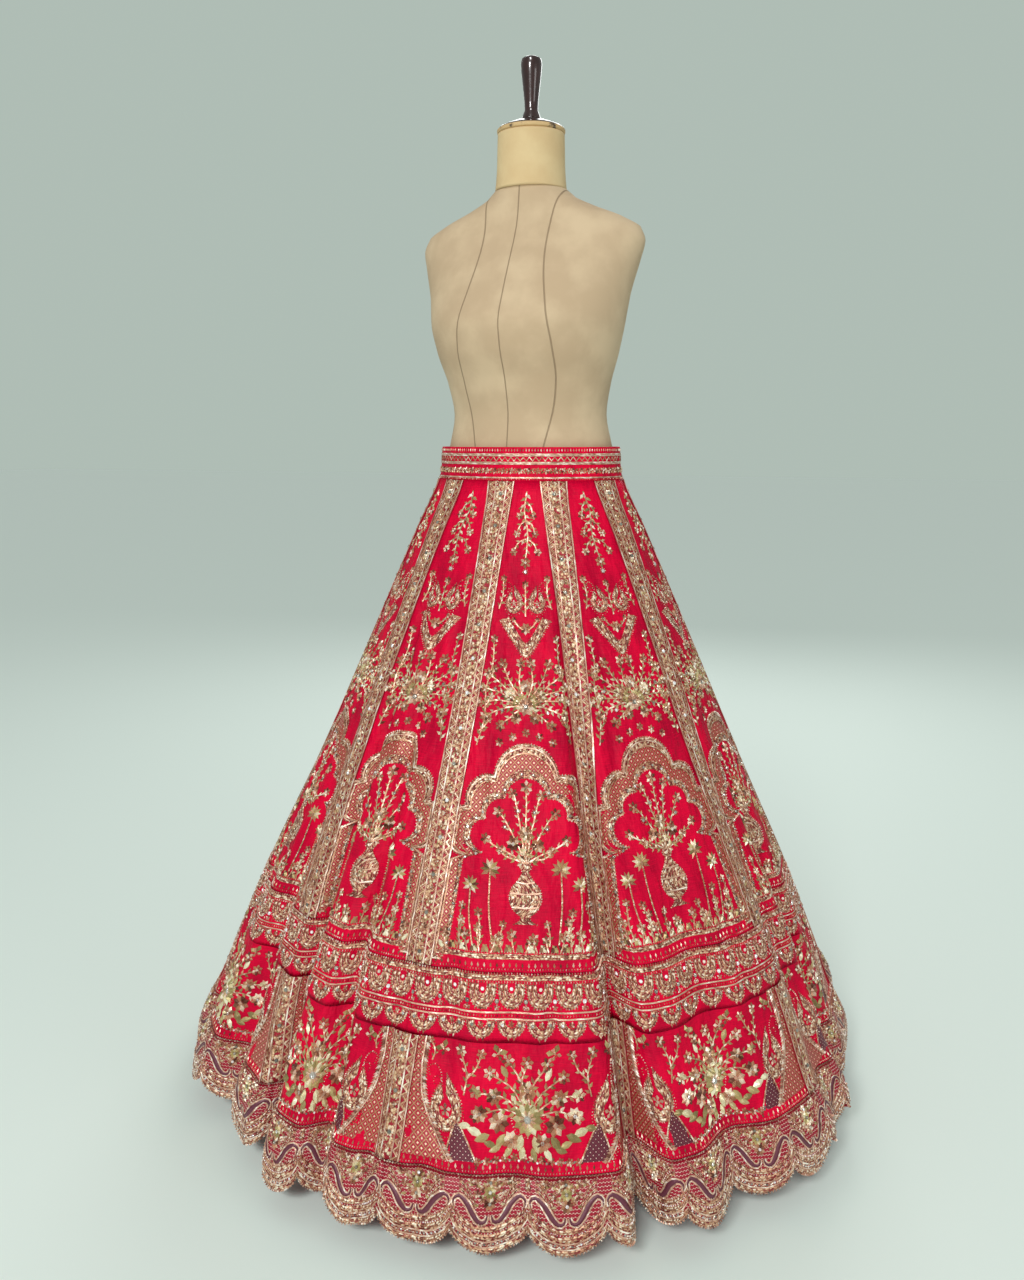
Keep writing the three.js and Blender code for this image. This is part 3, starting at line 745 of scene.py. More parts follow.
def lattice_finish(name, ground, lines, pitch, spot, spot_size):
    """Crossed threads on a ground, with a spot in every opening."""
    finish = Surface(name, 0.15, 0.45)
    across, down = finish.along()
    one, other = (across + down) * math.sqrt(0.5), (across - down) * math.sqrt(0.5)
    threads = one.wave(pitch).most(other.wave(pitch)).over(0.86, 0.95)
    middle = (1 - one.wave(pitch)).least(1 - other.wave(pitch)).over(1 - spot_size, 1 - spot_size * 0.5)
    grain = finish.noise(finish.point(across, down), scale=0.9, detail=2.0)
    worked = finish.mix(threads, ground, lines)
    finish.feed("Base Color", finish.mix(middle * grain.over(0.25, 0.45), worked, spot))
    finish.feed("Metallic", threads.most(middle) * 0.35)
    finish.relief(threads.most(middle) + grain * 0.3, 0.9)
    FINISHES[name] = finish.material


lattice_finish("jaal", (0.46, 0.002, 0.026), (0.46, 0.20, 0.10), 8.0, (0.90, 0.62, 0.42), 0.34)
lattice_finish("mauve_net", (0.10, 0.006, 0.020), (0.20, 0.03, 0.05), 5.2, (0.80, 0.50, 0.44), 0.24)

seeded = Surface("seeded_silk", 0.1, 0.5)
across, down = seeded.along()
shifted = across + down.math("FLOORED_MODULO", 9.0).over(4.49, 4.51) * 2.3
seeds = (shifted.wave(4.6) * down.wave(4.5)).over(0.42, 0.62)
grain = seeded.noise(seeded.point(across, down), scale=0.5, detail=2.0)
seed = seeded.ramp(grain, (0.3, (0.62, 0.22, 0.18)), (0.5, (0.86, 0.50, 0.40)), (0.68, (1.0, 0.86, 0.78)))
# The crimson between the seed beads is painted deep as shade.
seeded.feed("Base Color", seeded.mix(seeds, (0.34, 0.001, 0.020), seed))
seeded.relief(seeds, 0.7)
FINISHES["seeded"] = seeded.material
# ---- Panel embroidery ----
# One drawing serves all ten panels, mirrored on every second one: a hanging sprig, a pointed pendant, sprays,
# a cusped arch over a planted vase, and below the wide border a bed of flowers with beaded paisleys.

TAPE_HALF = 20.0
ARCH_FOOT, BED = -676.0, -662.0
SPRAYS, GREAT_FLOWER = -334.0, -862.0  # where they spring from
ARCH_MIDDLE = np.array([0.0, -522.0])
ARCH_LOBES = np.array([  # across, down, radius
    (0, -434, 47), (-54, -466, 36), (54, -466, 36), (-92, -508, 33), (92, -508, 33)], float)
ARCH_REACH = 118.0  # the inset that would draw the arch in to its middle
PILLAR_SHARE = 0.55  # how wide its bands are beside the tapes
ARCH_BAND, LATTICE_BAND, RIM_BAND = 12.0, 19.0, 10.0


def free_half(y):
    """Half the width of cloth between the tapes."""
    return panel_width(-y) / 2 - TAPE_HALF


def arch_line(inset):
    """The cusped outline of the arch, drawn in by an inset, from its left foot over the top to the right."""
    turns = np.radians(np.linspace(232, -52, 120))
    ways = np.stack([np.cos(turns), np.sin(turns)], 1)
    scale = 1 - inset / ARCH_REACH
    reach = np.zeros(len(ways))
    for x, y, radius in ARCH_LOBES:
        to = (np.array([x, y]) - ARCH_MIDDLE) * scale
        near = ways @ to
        off = (radius * scale) ** 2 - (to @ to - near ** 2)
        reach = np.maximum(reach, np.where(off > 0, near + np.sqrt(np.maximum(off, 0)), 0))
    slope = (HEM_WIDTH - WAIST_WIDTH) / LENGTH / 2
    side = free_half(ARCH_MIDDLE[1]) + 4 - PILLAR_SHARE * inset
    to_side = side / np.maximum(np.abs(ways[:, 0]) + slope * ways[:, 1], 0.05)
    to_foot = (ARCH_MIDDLE[1] - ARCH_FOOT) / np.maximum(-ways[:, 1], 1e-6)
    reach = np.where(reach > 0, np.minimum(reach, to_side), to_side)
    return ARCH_MIDDLE + ways * np.minimum(reach, to_foot)[:, None]


def paisley(work, x, y, size, side, finish="gold"):
    """A beaded paisley: a round body, narrowing to a tip that curls over."""
    shape = np.array([(0, 14), (-7, 4), (-14, -8), (-16, -22), (-9, -34), (3, -38), (14, -32), (18, -19),
                      (13, -6), (6, 4), (6, 14), (12, 21), (19, 18), (18, 11)], float)
    for inset, bead in ((1.0, 1.4), (0.72, 1.1)):
        line = curve((shape - (1, -18)) * inset + (1, -18), step=5 / size)
        line = (line * (side, 1)) * size + (x, y)
        work.beads(line, bead, 3.2, finish if inset < 1 else "pale_gold")
    outer = curve(shape[:10] * (side, 1), step=5 / size) * size + (x, y)
    inner = curve(((shape[:10] - (1, -18)) * 0.42 + (1, -18)) * (side, 1), step=2.0 / size) * size + (x, y)
    count = min(len(outer), len(inner))
    pick = [np.linspace(0, len(l) - 1, count).astype(int) for l in (outer, inner)]
    work.strip("wirework", outer[pick[0]], inner[pick[1]], lift=1.1, rows=2)
    work.rosette(x + 1 * side * size, y - 19 * size, 6.5 * size, petals=5, finish="pale_gold")
    for px, py in zip(*(curve(shape[1:10] * (side, 1) * 1.13, step=1.0)[:: max(2, int(5 / size))].T * size)):
        work.sew("bead", x + px, y + py, 0, 0.9, "gold", lift=0.8)


def butterfly(work, x, y, size, turn):
    """Two pairs of wings, two feelers and a beaded body."""
    ahead = np.array([math.cos(math.radians(turn)), math.sin(math.radians(turn))])
    for side in (1, -1):
        work.sew("petal", x, y, turn + side * 48, 15 * size, "leaf")
        work.sew("petal", x, y, turn + side * 125, 10 * size, "gold")
        tip = np.radians(turn + side * 12)
        work.cord(curve([(x, y), (x + 9 * size * math.cos(tip), y + 9 * size * math.sin(tip))]), 0.5)
    work.beads([(x, y) - 4 * size * ahead, (x, y) + 5 * size * ahead], 1.3, 2.2)


def upper_work():
    work = Needlework()
    # hanging sprig
    work.sprig([(0, -16), (3, -48), (-3, -84), (0, -126)], leaf=11, pitch=5.5, flower=9)
    for y, reach in ((-34, 11), (-62, 15), (-90, 20)):
        work.both(lambda side: work.sprig(
            [(0, y), (side * reach * 0.6, y - 6), (side * reach, y - 20)], leaf=8, pitch=6, flower=6.5))
    work.jewel(0, -140, 3.2)
    # pendant: two leafy paisleys over a pointed band of wire rows
    work.both(lambda side: paisley(work, side * 18, -172, 0.78, side))
    work.sprig([(0, -206), (0, -182), (0, -158)], leaf=9, pitch=6, flower=6)
    outer, inner = (
        curve([(-half, top), (-half * 0.5, (top + tip) / 2 - 3), (0, tip), (half * 0.5, (top + tip) / 2 - 3),
               (half, top)], 3)
        for half, top, tip in ((42, -212, -266), (27, -208, -245)))
    pick = np.linspace(0, len(inner) - 1, len(outer)).astype(int)
    work.strip("wirework", outer, inner[pick], lift=1.2, rows=3)
    work.beads(outer + (0, -2), 1.32, 3.7, "pale_gold")
    work.beads(inner, 1.20, 3.4, "pale_gold")
    work.rosette(0, -224, 9, petals=7)
    work.both(lambda side: work.sprig([(side * 4, -226), (side * 12, -220), (side * 19, -211)], 6, 5, 4.5))
    # vines that climb beside the tapes
    for side in (1, -1):
        def beside_tape(y, inwards=0.0):
            return side * (free_half(y) - 9) - side * inwards, y

        work.sprig([beside_tape(-392), beside_tape(-352, 5), beside_tape(-312), beside_tape(-276, 4),
                    beside_tape(-240)], leaf=10, pitch=5.6, flower=7)
        for y, reach in ((-372, 14), (-340, 12), (-300, 11)):
            x = beside_tape(y)[0]
            work.sprig([(x, y), (x - side * reach * 0.6, y + 7), (x - side * reach, y + 17)], 8, 5.2, 6.5)
        work.sprig([beside_tape(-196), beside_tape(-176, 3), beside_tape(-150)], 8, 5.2, 6)
    for x, y in ((-20, -378), (20, -378), (0, -372), (-40, -386), (40, -386)):
        work.rosette(x, y, 6.5, petals=6)
    # flowering sprays
    fan = [(84, 92), (63, 100), (42, 100), (22, 96), (2, 92), (-18, 84), (-42, 66)]
    for turn, reach in fan:
        for side in (1, -1):
            t = math.radians(turn)
            end = np.array([side * reach * 0.80 * math.cos(t), SPRAYS + reach * 0.66 * math.sin(t)])
            bend = np.array([side * 6 * math.sin(t), 5 * math.cos(t)])
            work.sprig([(0, SPRAYS), end * 0.5 + (0, SPRAYS / 2) + bend, end], leaf=11, pitch=5.2, flower=8.5)
    for x, y, size in ((0, -336, 13), (-22, -322, 10), (24, -318, 10), (-14, -352, 9), (15, -352, 9),
                       (0, -306, 10)):
        work.rosette(x, y, size, petals=8, finish="gold" if x else "pale_gold")
    work.jewel(0, -336, 4.0)
    for x, y in ((-34, -345), (36, -342), (-47, -318), (48, -312)):
        work.jewel(x, y, 2.6)
    # arch
    steps = [0, ARCH_BAND, ARCH_BAND + LATTICE_BAND, ARCH_BAND + LATTICE_BAND + RIM_BAND]
    lines = [arch_line(step) for step in steps]
    work.strip("wirework", lines[0], lines[1], lift=1.3, rows=2)
    work.strip("jaal", lines[1], lines[2], lift=0.5, rows=2, run=False)
    work.strip("wirework", lines[2], lines[3], lift=1.2, rows=2)
    work.beads(lines[0], 1.62, 4.2, "pale_gold", lift=1.0)
    work.cord(arch_line(5.0), 0.8, "pale_gold", lift=1.5)
    work.cord(lines[1], 0.9, "gold", lift=1.2)
    work.beads(lines[2], 1.50, 4.0, "gold", lift=1.1)
    work.beads(lines[3], 1.74, 4.5, "pale_gold", lift=1.0)
    middle = arch_line(ARCH_BAND + LATTICE_BAND + RIM_BAND / 2)
    for (x, y), _ in zip(*along_line(middle, 17.0, start=8.0)):
        work.sew("stone", x, y, 0, 2.1, "stone", lift=1.5)
    # the planted vase
    profile = np.array([(6, -548), (9, -552), (5, -558), (10, -568), (20, -580), (23, -594), (17, -608),
                        (7, -616), (9, -622), (16, -626)], float)
    right = curve(profile, 3)
    work.strip("wirework", right * (-1, 1), right, lift=1.6, rows=4)
    work.both(lambda side: work.beads(right * (side, 1), 1.44, 3.7, "pale_gold"))
    for y, half in ((-572, 13), (-586, 21), (-604, 19)):
        work.cord([(-half, y), (0, y - 1.5), (half, y)], 0.9, "pale_gold", lift=2.0)
    work.rosette(0, -592, 8, petals=7, finish="leaf")
    stems = [(0, 446, 9.5), (20, 455, 8), (-22, 457, 8), (40, 480, 8.5), (-42, 482, 8.5), (58, 516, 8),
             (-58, 518, 8), (36, 530, 7), (-36, 532, 7)]  # across, down, size of the flower
    for x, y, flower in stems:
        work.sprig([(0, -548), (x * 0.35, -(548 + y) / 2 - 4), (x * 0.8, -y - 8), (x, -y)], 9.5, 5.8, flower)
    for x, y, size in ((0, -508, 11), (-17, -524, 10), (18, -522, 10), (0, -536, 9)):
        work.rosette(x, y, size, petals=8)
    for x, y in ((0, -508), (30, -500), (-30, -502), (12, -478), (-12, -480)):
        work.jewel(x, y, 2.8)
    # fronds beside the vase
    for side in (1, -1):
        for x, top, leaf in ((50, -556, 15), (78, -578, 13)):
            foot = np.array([side * (x - 4), -652.0])
            head = np.array([side * x, float(top)])
            work.cord(curve([foot, (foot + head) / 2 + (side * 3, 0), head]), 1.5, "gold")
            work.beads(curve([foot, (foot + head) / 2 + (side * 3, 0), head]), 1.32, 3.7, "leaf", lift=1.8)
            for turn in range(-30, 240, 33):
                work.sew("leaf", *head, turn, leaf, "leaf" if turn % 2 else "gold")
            work.sew("bead", *head, 0, 2.4, "pale_gold", lift=1.2)
        work.sprig([(side * 64, -654), (side * 63, -634), (side * 66, -612)], 8, 5.5, 7)
        work.sprig([(side * 33, -654), (side * 34, -640), (side * 31, -626)], 7, 5.5, 6)
        work.sprig([(side * 92, -656), (side * 94, -634), (side * 90, -606)], 8, 6, 6.5)
    # rows that close the panel above the wide border
    foot = -fall_at(BORDER_TOP) + 5.0
    side = np.linspace(-1, 1, 40)
    row = np.stack([side * (free_half(foot) - 1), np.full(40, foot)], 1)
    work.beads(row - (0, 2), 1.4, 3.9, "pale_gold")
    for x in np.linspace(-0.96, 0.96, 30) * free_half(foot):
        work.sew("leaf", x, foot, 90, 6.5, "gold", lift=0.5)
    # flower bed
    bed = np.stack([np.linspace(-128, 128, 26), np.full(26, -667.0)], 1)
    work.strip("wirework", bed + (0, 3.5), bed - (0, 3.5), lift=1.2)
    work.beads(bed + (0, 5.5), 1.5, 4.0, "pale_gold")
    for k, x in enumerate(np.linspace(-112, 112, 15)):
        tall = (16, 30, 22, 38, 20)[k % 5] * (0.6 if abs(x) < 24 else 1)
        lean = (3, -4, 2)[k % 3]
        stem = [(x, BED), (x + lean, BED + tall * 0.5), (x + lean * 1.5, BED + tall)]
        work.sprig(stem, 9, 5.2, (8, 6.5)[k % 2])
        work.sew("broad_leaf", x + 3, BED, 52, 13, "leaf")
        work.sew("broad_leaf", x - 3, BED, 128, 13, "gold")
    return work


def lower_work():
    work = Needlework()
    # great flower with its leaves and stems
    for turn, reach in ((90, 68), (70, 74), (112, 72), (48, 74), (134, 70), (25, 76), (157, 74), (3, 68),
                        (178, 66)):
        t = math.radians(turn)
        end = np.array([reach * math.cos(t), GREAT_FLOWER + reach * 0.98 * math.sin(t)])
        bend = np.array([-9 * math.sin(t), 9 * math.cos(t)]) * (1 if turn < 90 else -1)
        work.sprig([(0, GREAT_FLOWER), (end + (0, GREAT_FLOWER)) / 2 + bend, end], 12, 6.5, 9)
    for k in range(12):
        work.sew("petal", 0, GREAT_FLOWER, 30 * k, 20, "leaf", lift=0.9)
        work.sew("petal", 0, GREAT_FLOWER, 30 * k + 15, 14, "pale_gold", lift=1.4)
    work.beads(arc(0, GREAT_FLOWER, 21.5, 0, 352), 1.4, 3.8, "pale_gold")
    work.jewel(0, GREAT_FLOWER, 6.0)
    for x, y, size in ((-36, -868, 14), (38, -866, 14), (-19, -888, 12), (22, -888, 12), (0, -828, 12),
                       (-42, -838, 11), (44, -836, 11), (-62, -858, 11), (63, -856, 11)):
        work.rosette(x, y, size, petals=8, finish="gold")
        work.sew("stone", x, y, 0, 2.4, "stone", lift=1.8)
    for x, turn in ((-60, 160), (-50, 200), (60, 20), (50, -20), (-30, 235), (30, -55), (-8, 255), (8, -75)):
        work.sew("broad_leaf", x, -880, turn, 21, "leaf", lift=0.8)
        work.sew("broad_leaf", x * 0.7, -894, turn, 17, "leaf", lift=0.8)
    for x, y, turn, length in (
            (-24, -816, 120, 17), (26, -814, 60, 17), (-58, -836, 150, 16), (60, -834, 30, 16),
            (-14, -846, 110, 14), (16, -846, 70, 14), (-74, -872, 185, 17), (75, -870, -5, 17)):
        work.sew("broad_leaf", x, y, turn, length, "leaf", lift=0.7)
    for x in np.linspace(-66, 66, 12):
        work.rosette(x, -909 + 2.5 * math.cos(x), 5.5, petals=6)
        work.sew("stone", x + 6, -911, 0, 1.8, "stone", lift=0.5)
    # rows that close the panel above the hem border
    foot = -fall_at(HEM_BORDER_TOP) + 4.0
    row = np.stack([np.linspace(-1, 1, 40) * (free_half(foot) - 1), np.full(40, foot)], 1)
    work.beads(row - (0, 1.5), 1.4, 3.9, "pale_gold")
    for x in np.linspace(-0.97, 0.97, 38) * free_half(foot):
        work.sew("leaf", x, foot, 90, 6.5, "gold", lift=0.5)
    # sprays and butterflies under the wide border
    for side in (1, -1):
        work.sprig([(side * 84, -836), (side * 80, -812), (side * 88, -784)], 9, 6, 8)
        work.sprig([(side * 82, -818), (side * 68, -804), (side * 60, -786)], 8, 6, 7)
        butterfly(work, side * 38, -786, 0.85, 90 + side * 28)
        butterfly(work, side * 112, -786, 0.8, 90 - side * 35)
        # paisley with its net
        paisley(work, side * 108, -832, 1.3, side)
        share = np.linspace(0, 1, 9)
        net_top = np.stack([side * (94 - 26 * share ** 0.8), -866 - 46 * share], 1)
        net_low = np.stack([side * (97 + 14 * share), -872 - 40 * share], 1)
        work.strip("mauve_net", net_top, net_low, lift=0.5, rows=3, run=False)
        for line in (net_top, net_low):
            work.cord(line, 0.9, "gold", lift=0.7)
            work.beads(line, 1.32, 3.7, "pale_gold", lift=1.2)
        # lattice that climbs beside the seam, with a comb of short wires
        inner = curve([(side * 136, -772), (side * 142, -812), (side * 140, -850), (side * 124, -884),
                       (side * 104, -914)], 7)
        outer = np.stack([side * (free_half(inner[:, 1]) + 1.5), inner[:, 1]], 1)
        work.strip("jaal", outer, inner, lift=0.5, rows=3, run=False)
        work.cord(inner, 1.3, "pale_gold", lift=1.0)
        work.beads(inner + (side * 3.5, 0), 1.44, 3.7, lift=1.2)
        work.beads(inner + (side * 7.5, 0), 1.2, 3.7, "pale_gold", lift=1.2)
        for (x, y), way in zip(*along_line(inner, 3.8)):
            work.sew("leaf", x, y, way - side * 62, 9.0, "pale_gold", lift=0.8)
        work.sprig([(side * 128, -800), (side * 124, -788), (side * 130, -776)], 6, 5, 5)
    return work


def embroidery(panel, work, name):
    batches = [batch.laid(hangs[panel].lay, mirrored=panel % 2 == 0) for batch in work]
    piece = piece_of(f"{name}_{panel + 1:02d}", batches, smooth=False)
    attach(piece, "root")


upper, lower = upper_work().raised(), lower_work().raised()
for panel in range(PANELS):
    embroidery(panel, upper, "arch_embroidery")
    embroidery(panel, lower, "flower_embroidery")

# ---- Seam tapes ----
# Woven and embroidered tapes over the seams, 40 mm wide: a floral middle with a glass flower every 50 mm,
# crimson and gold zigzags beside it, and pale cords between. They stop at the wide border and go on below it.

TAPE = 1.5
LAID_ON = 0.3
STONE_PITCH = 50.0

tape_finish = Surface("seam_tape", metallic=0.3, roughness=0.4)
across, down = tape_finish.along()
side = abs(across)
flat = tape_finish.point(across, down)
bloom = tape_finish.node("ShaderNodeTexVoronoi", {}, {"Vector": flat, "Scale": 0.24})
chance = tape_finish.level("ShaderNodeSeparateColor", {}, {0: bloom.outputs["Color"]})
petals = Level(tape_finish, bloom.outputs["Distance"]).over(0.78, 0.42)
teeth = (side - 9) / 8 - down.swing(11.0)
zigzag = abs(teeth).over(0.30, 0.14)
hatch = (across * 0.9 + down * 0.5).wave(2.0).over(0.3, 0.7) * teeth.over(0.0, 0.1)
wires = (side + 0.2).wave(1.9).over(0.35, 0.75)
in_middle, in_zigzag = side.over(7.4, 7.0), side.over(9.0, 9.2) * side.over(17.2, 17.0)
worked = in_middle * petals + in_zigzag * zigzag.most(hatch * 0.8) + (1 - in_middle - in_zigzag) * wires
grain = tape_finish.noise(tape_finish.point(across, down), scale=1.6, detail=2.0)
# The gold runs at random from painted shade to painted glint; the crimson between the worked threads is
# painted deep as shade.
gold = tape_finish.ramp(chance * 0.45 + grain * 0.7, (0.2, GOLD_SHADE), (0.5, GOLD), (0.68, (0.78, 0.55, 0.3)),
                        (0.85, GOLD_GLINT))
tape_finish.feed("Base Color", tape_finish.mix(worked, (0.34, 0.002, 0.018), gold))
tape_finish.relief(worked + grain * 0.4, 0.9)
FINISHES["seam_tape"] = tape_finish.material


def tape_work(top, bottom):
    """The tape's ground and its raised work, between two distances down the cloth."""
    columns = np.array([-TAPE_HALF, -18, -9, -4, 0, 4, 9, 18, TAPE_HALF])
    rows = np.linspace(-top, -bottom, int((bottom - top) / 9) + 2)
    x, y = np.meshgrid(columns, rows)
    points = [np.stack([x, y, np.full(x.shape, z)], -1).reshape(-1, 3) for z in (LAID_ON + TAPE, LAID_ON)]
    faces = shell(x.size, len(rows), len(columns))
    ground = quads("seam_tape", np.concatenate(points), faces)
    work = Needlework(LAID_ON + TAPE)
    for place in (-18.8, -8.2, 8.2, 18.8):
        line = np.stack([np.full(len(rows), place), rows], 1)
        work.cord(line, 0.85, "pale_gold", lift=0.3)
    for place in (-6.2, 6.2):
        line = np.stack([np.full(len(rows), place), rows], 1)
        work.beads(line, 1.14, 4.1, "pale_gold", lift=0.3)
    for place in (-13, 13):
        teeth = np.arange(-top - 3, -bottom + 2, -5.5)
        line = np.stack([place + 2.9 * (-1.0) ** np.arange(len(teeth)), teeth], 1)
        work.cord(line, 0.7, "gold", lift=0.3)
    for y in np.arange(-top - 20, -bottom + 8, -STONE_PITCH):
        for k in range(6):
            work.sew("petal", 0, y, 60 * k, 6.4, "gold", lift=0.1)
        work.sew("stone", 0, y, 0, 3.1, "stone", lift=0.9)
        for step in (-17, 17):
            work.rosette(0, y + step, 4.6, petals=5, turn=90, finish="gold")
            work.sew("leaf", 1.5, y + step * 0.65, 60, 5.5, "leaf", lift=0.1)
            work.sew("leaf", -1.5, y + step * 0.65, 120, 5.5, "leaf", lift=0.1)
    return ground, work.raised()


def worked(name, node, slot, ground, work, lays, rests_on, flat, area=None):
    """A piece of cloth and the work on it, laid on one or more hangs: two meshes, one for each."""
    cloth = piece_of(name, [ground.laid(lay) for lay in lays])
    stitched = piece_of(f"{name}_work", [batch.laid(lay) for lay in lays for batch in work], smooth=False)
    for piece in (cloth, stitched):
        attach(piece, "root")
    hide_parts(node)
    area or flat[0] * flat[1]


TAPE_TOP_CUT = 0.8  # clears the waistband
for prefix, top, bottom, cut in (
        ("", WAIST_BOTTOM, BORDER_TOP, TAPE_TOP_CUT), ("hem_", BORDER_BOTTOM, HEM_BORDER_TOP, EDGE)):
    ground, work = tape_work(fall_at(top) + cut, fall_at(bottom) - EDGE)
    for seam in range(PANELS):
        worked(f"{prefix}tape_{seam + 1:02d}", f"{prefix}seam_tape_{seam + 1:02d}", "zari_tape", ground, work,
               [Seam(seam).lay], "panel_01", (2 * TAPE_HALF * MM, (fall_at(bottom) - fall_at(top)) * MM))

# ---- The wide border below the knee ----
# A border 87 mm deep that rounds the whole skirt in five lengths: bead rows, a row of nested lappets with
# glass stones between their tips, a bead row between two cords, and a row of half-round fans.

LAPPETS, FANS = 8, 8  # per panel


def across_panel(x_share, y):
    """A point at a share of the panel's width and a height on the drawing."""
    x_share, y = np.broadcast_arrays(np.asarray(x_share, float), np.asarray(y, float))
    return np.stack([(x_share - 0.5) * (panel_width(-y) - 2 * EDGE), y], -1)


def row_across(y, count=48):
    return across_panel(np.linspace(0, 1, count), np.full(count, y))


def border_work():
    work = Needlework(LAID_ON + TAPE)
    top, bottom = -fall_at(BORDER_TOP) - EDGE, -fall_at(BORDER_BOTTOM) + EDGE
    work.strip("silk", row_across(top), row_across(bottom), lift=0.0, rows=10, run=False, foot=-TAPE)
    for depth, size, finish in ((2.0, 1.6, "pale_gold"), (12.6, 1.6, "pale_gold"), (53.5, 1.5, "gold")):
        work.beads(row_across(top - depth), size, 3.9, finish, lift=0.6)
    work.strip("wirework", row_across(top - 3.6), row_across(top - 10.6), lift=0.9, rows=2)
    for depth in (49.5, 57.5):
        work.cord(row_across(top - depth, 40), 1.1, "pale_gold", lift=0.6)
    for k in range(LAPPETS):
        middle, half = (k + 0.5) / LAPPETS, 0.475 / LAPPETS
        for inset, finish in ((0.0, "pale_gold"), (0.36, "gold"), (0.68, "pale_gold")):
            turn = np.linspace(0, math.pi, 13)
            share = middle - half * (1 - inset) * np.cos(turn)
            deep = top - 14.5 - 31 * (1 - 0.85 * inset) * np.sin(turn) ** 0.75
            line = across_panel(share, deep)
            work.beads(line, 1.5 if inset == 0 else 1.2, 3.7, finish, lift=0.9)
            if inset < 0.5:
                inner = middle - half * (0.66 - inset) * np.cos(turn)
                low = top - 14.5 - 30 * (0.72 - 0.85 * inset) * np.sin(turn) ** 0.75
                work.strip("wirework", line, across_panel(inner, low), lift=1.0)
        work.sew("stone", *across_panel(middle, top - 21), 0, 2.6, "pearl", lift=0.8)
        x, y = across_panel(k / LAPPETS, top - 36)
        work.sew("stone", x, y, 0, 3.2, "stone", lift=0.6)
        work.rosette(x, y - 7.5, 4.2, petals=5, finish="pale_gold")
    for share in np.arange(0.5, 44) / 44:
        x, y = across_panel(share, top - 46.5)
        work.sew("leaf", x, y, 90, 4.2, "gold", lift=0.1)
    for k in range(FANS):
        middle, half = (k + 0.5) / FANS, 0.48 / FANS
        turn = np.linspace(0, math.pi, 11)
        fan = [across_panel(middle - half * size * np.cos(turn), top - 59.5 - 21 * size * np.sin(turn))
               for size in (1.0, 0.45)]
        work.strip("wirework", fan[0], fan[1], lift=0.9)
        work.beads(fan[0], 1.32, 3.6, "pale_gold", lift=0.9)
        work.beads(fan[1], 1.20, 3.3, "gold", lift=1.0)
        for side in (-0.3, 0.3):
            work.sew("stone", *across_panel(middle + side * half * 2, top - 65), 0, 2.5, "stone", lift=0.5)
        for t in np.linspace(0.35, math.pi - 0.35, 6):
            x, y = across_panel(middle - half * 0.95 * math.cos(t), top - 59.5 - 20 * math.sin(t))
            work.sew("leaf", x, y, -math.degrees(t), 5.5, "gold", lift=0.1)
        work.rosette(*across_panel(middle, top - 64), 4.4, petals=6)
    return work


border = border_work()
ground, border = border.strips.pop(0), border.raised()
for length in range(PANELS // 2):
    size = (2 * panel_width(fall_at(BORDER_BOTTOM)) * MM, (fall_at(BORDER_BOTTOM) - fall_at(BORDER_TOP)) * MM)
    worked(f"wide_border_{length + 1:02d}", f"knee_border_{length + 1:02d}", "zari_border", ground, border,
           [hangs[2 * length].lay, hangs[2 * length + 1].lay], "panel_01", size)

# ---- The scalloped hem border ----
# Bands of wire rows and beads follow each scallop on a ground of seed beads. Above them lies a pair of mauve
# scrolls edged with pale cord, with flowers between them, and the edge has small loops.

SCALLOP_SHARES = np.linspace(0, 1, 16 * SCALLOPS + 1)


def above_hem(off, shares=SCALLOP_SHARES, hang=1.0):
    """A line at a distance above the hem's edge, which follows its scallops."""
    edge = fall_at(HEM_CUSP) + scallop(shares) * hang * 1.02
    return across_panel(shares, -(edge - off))


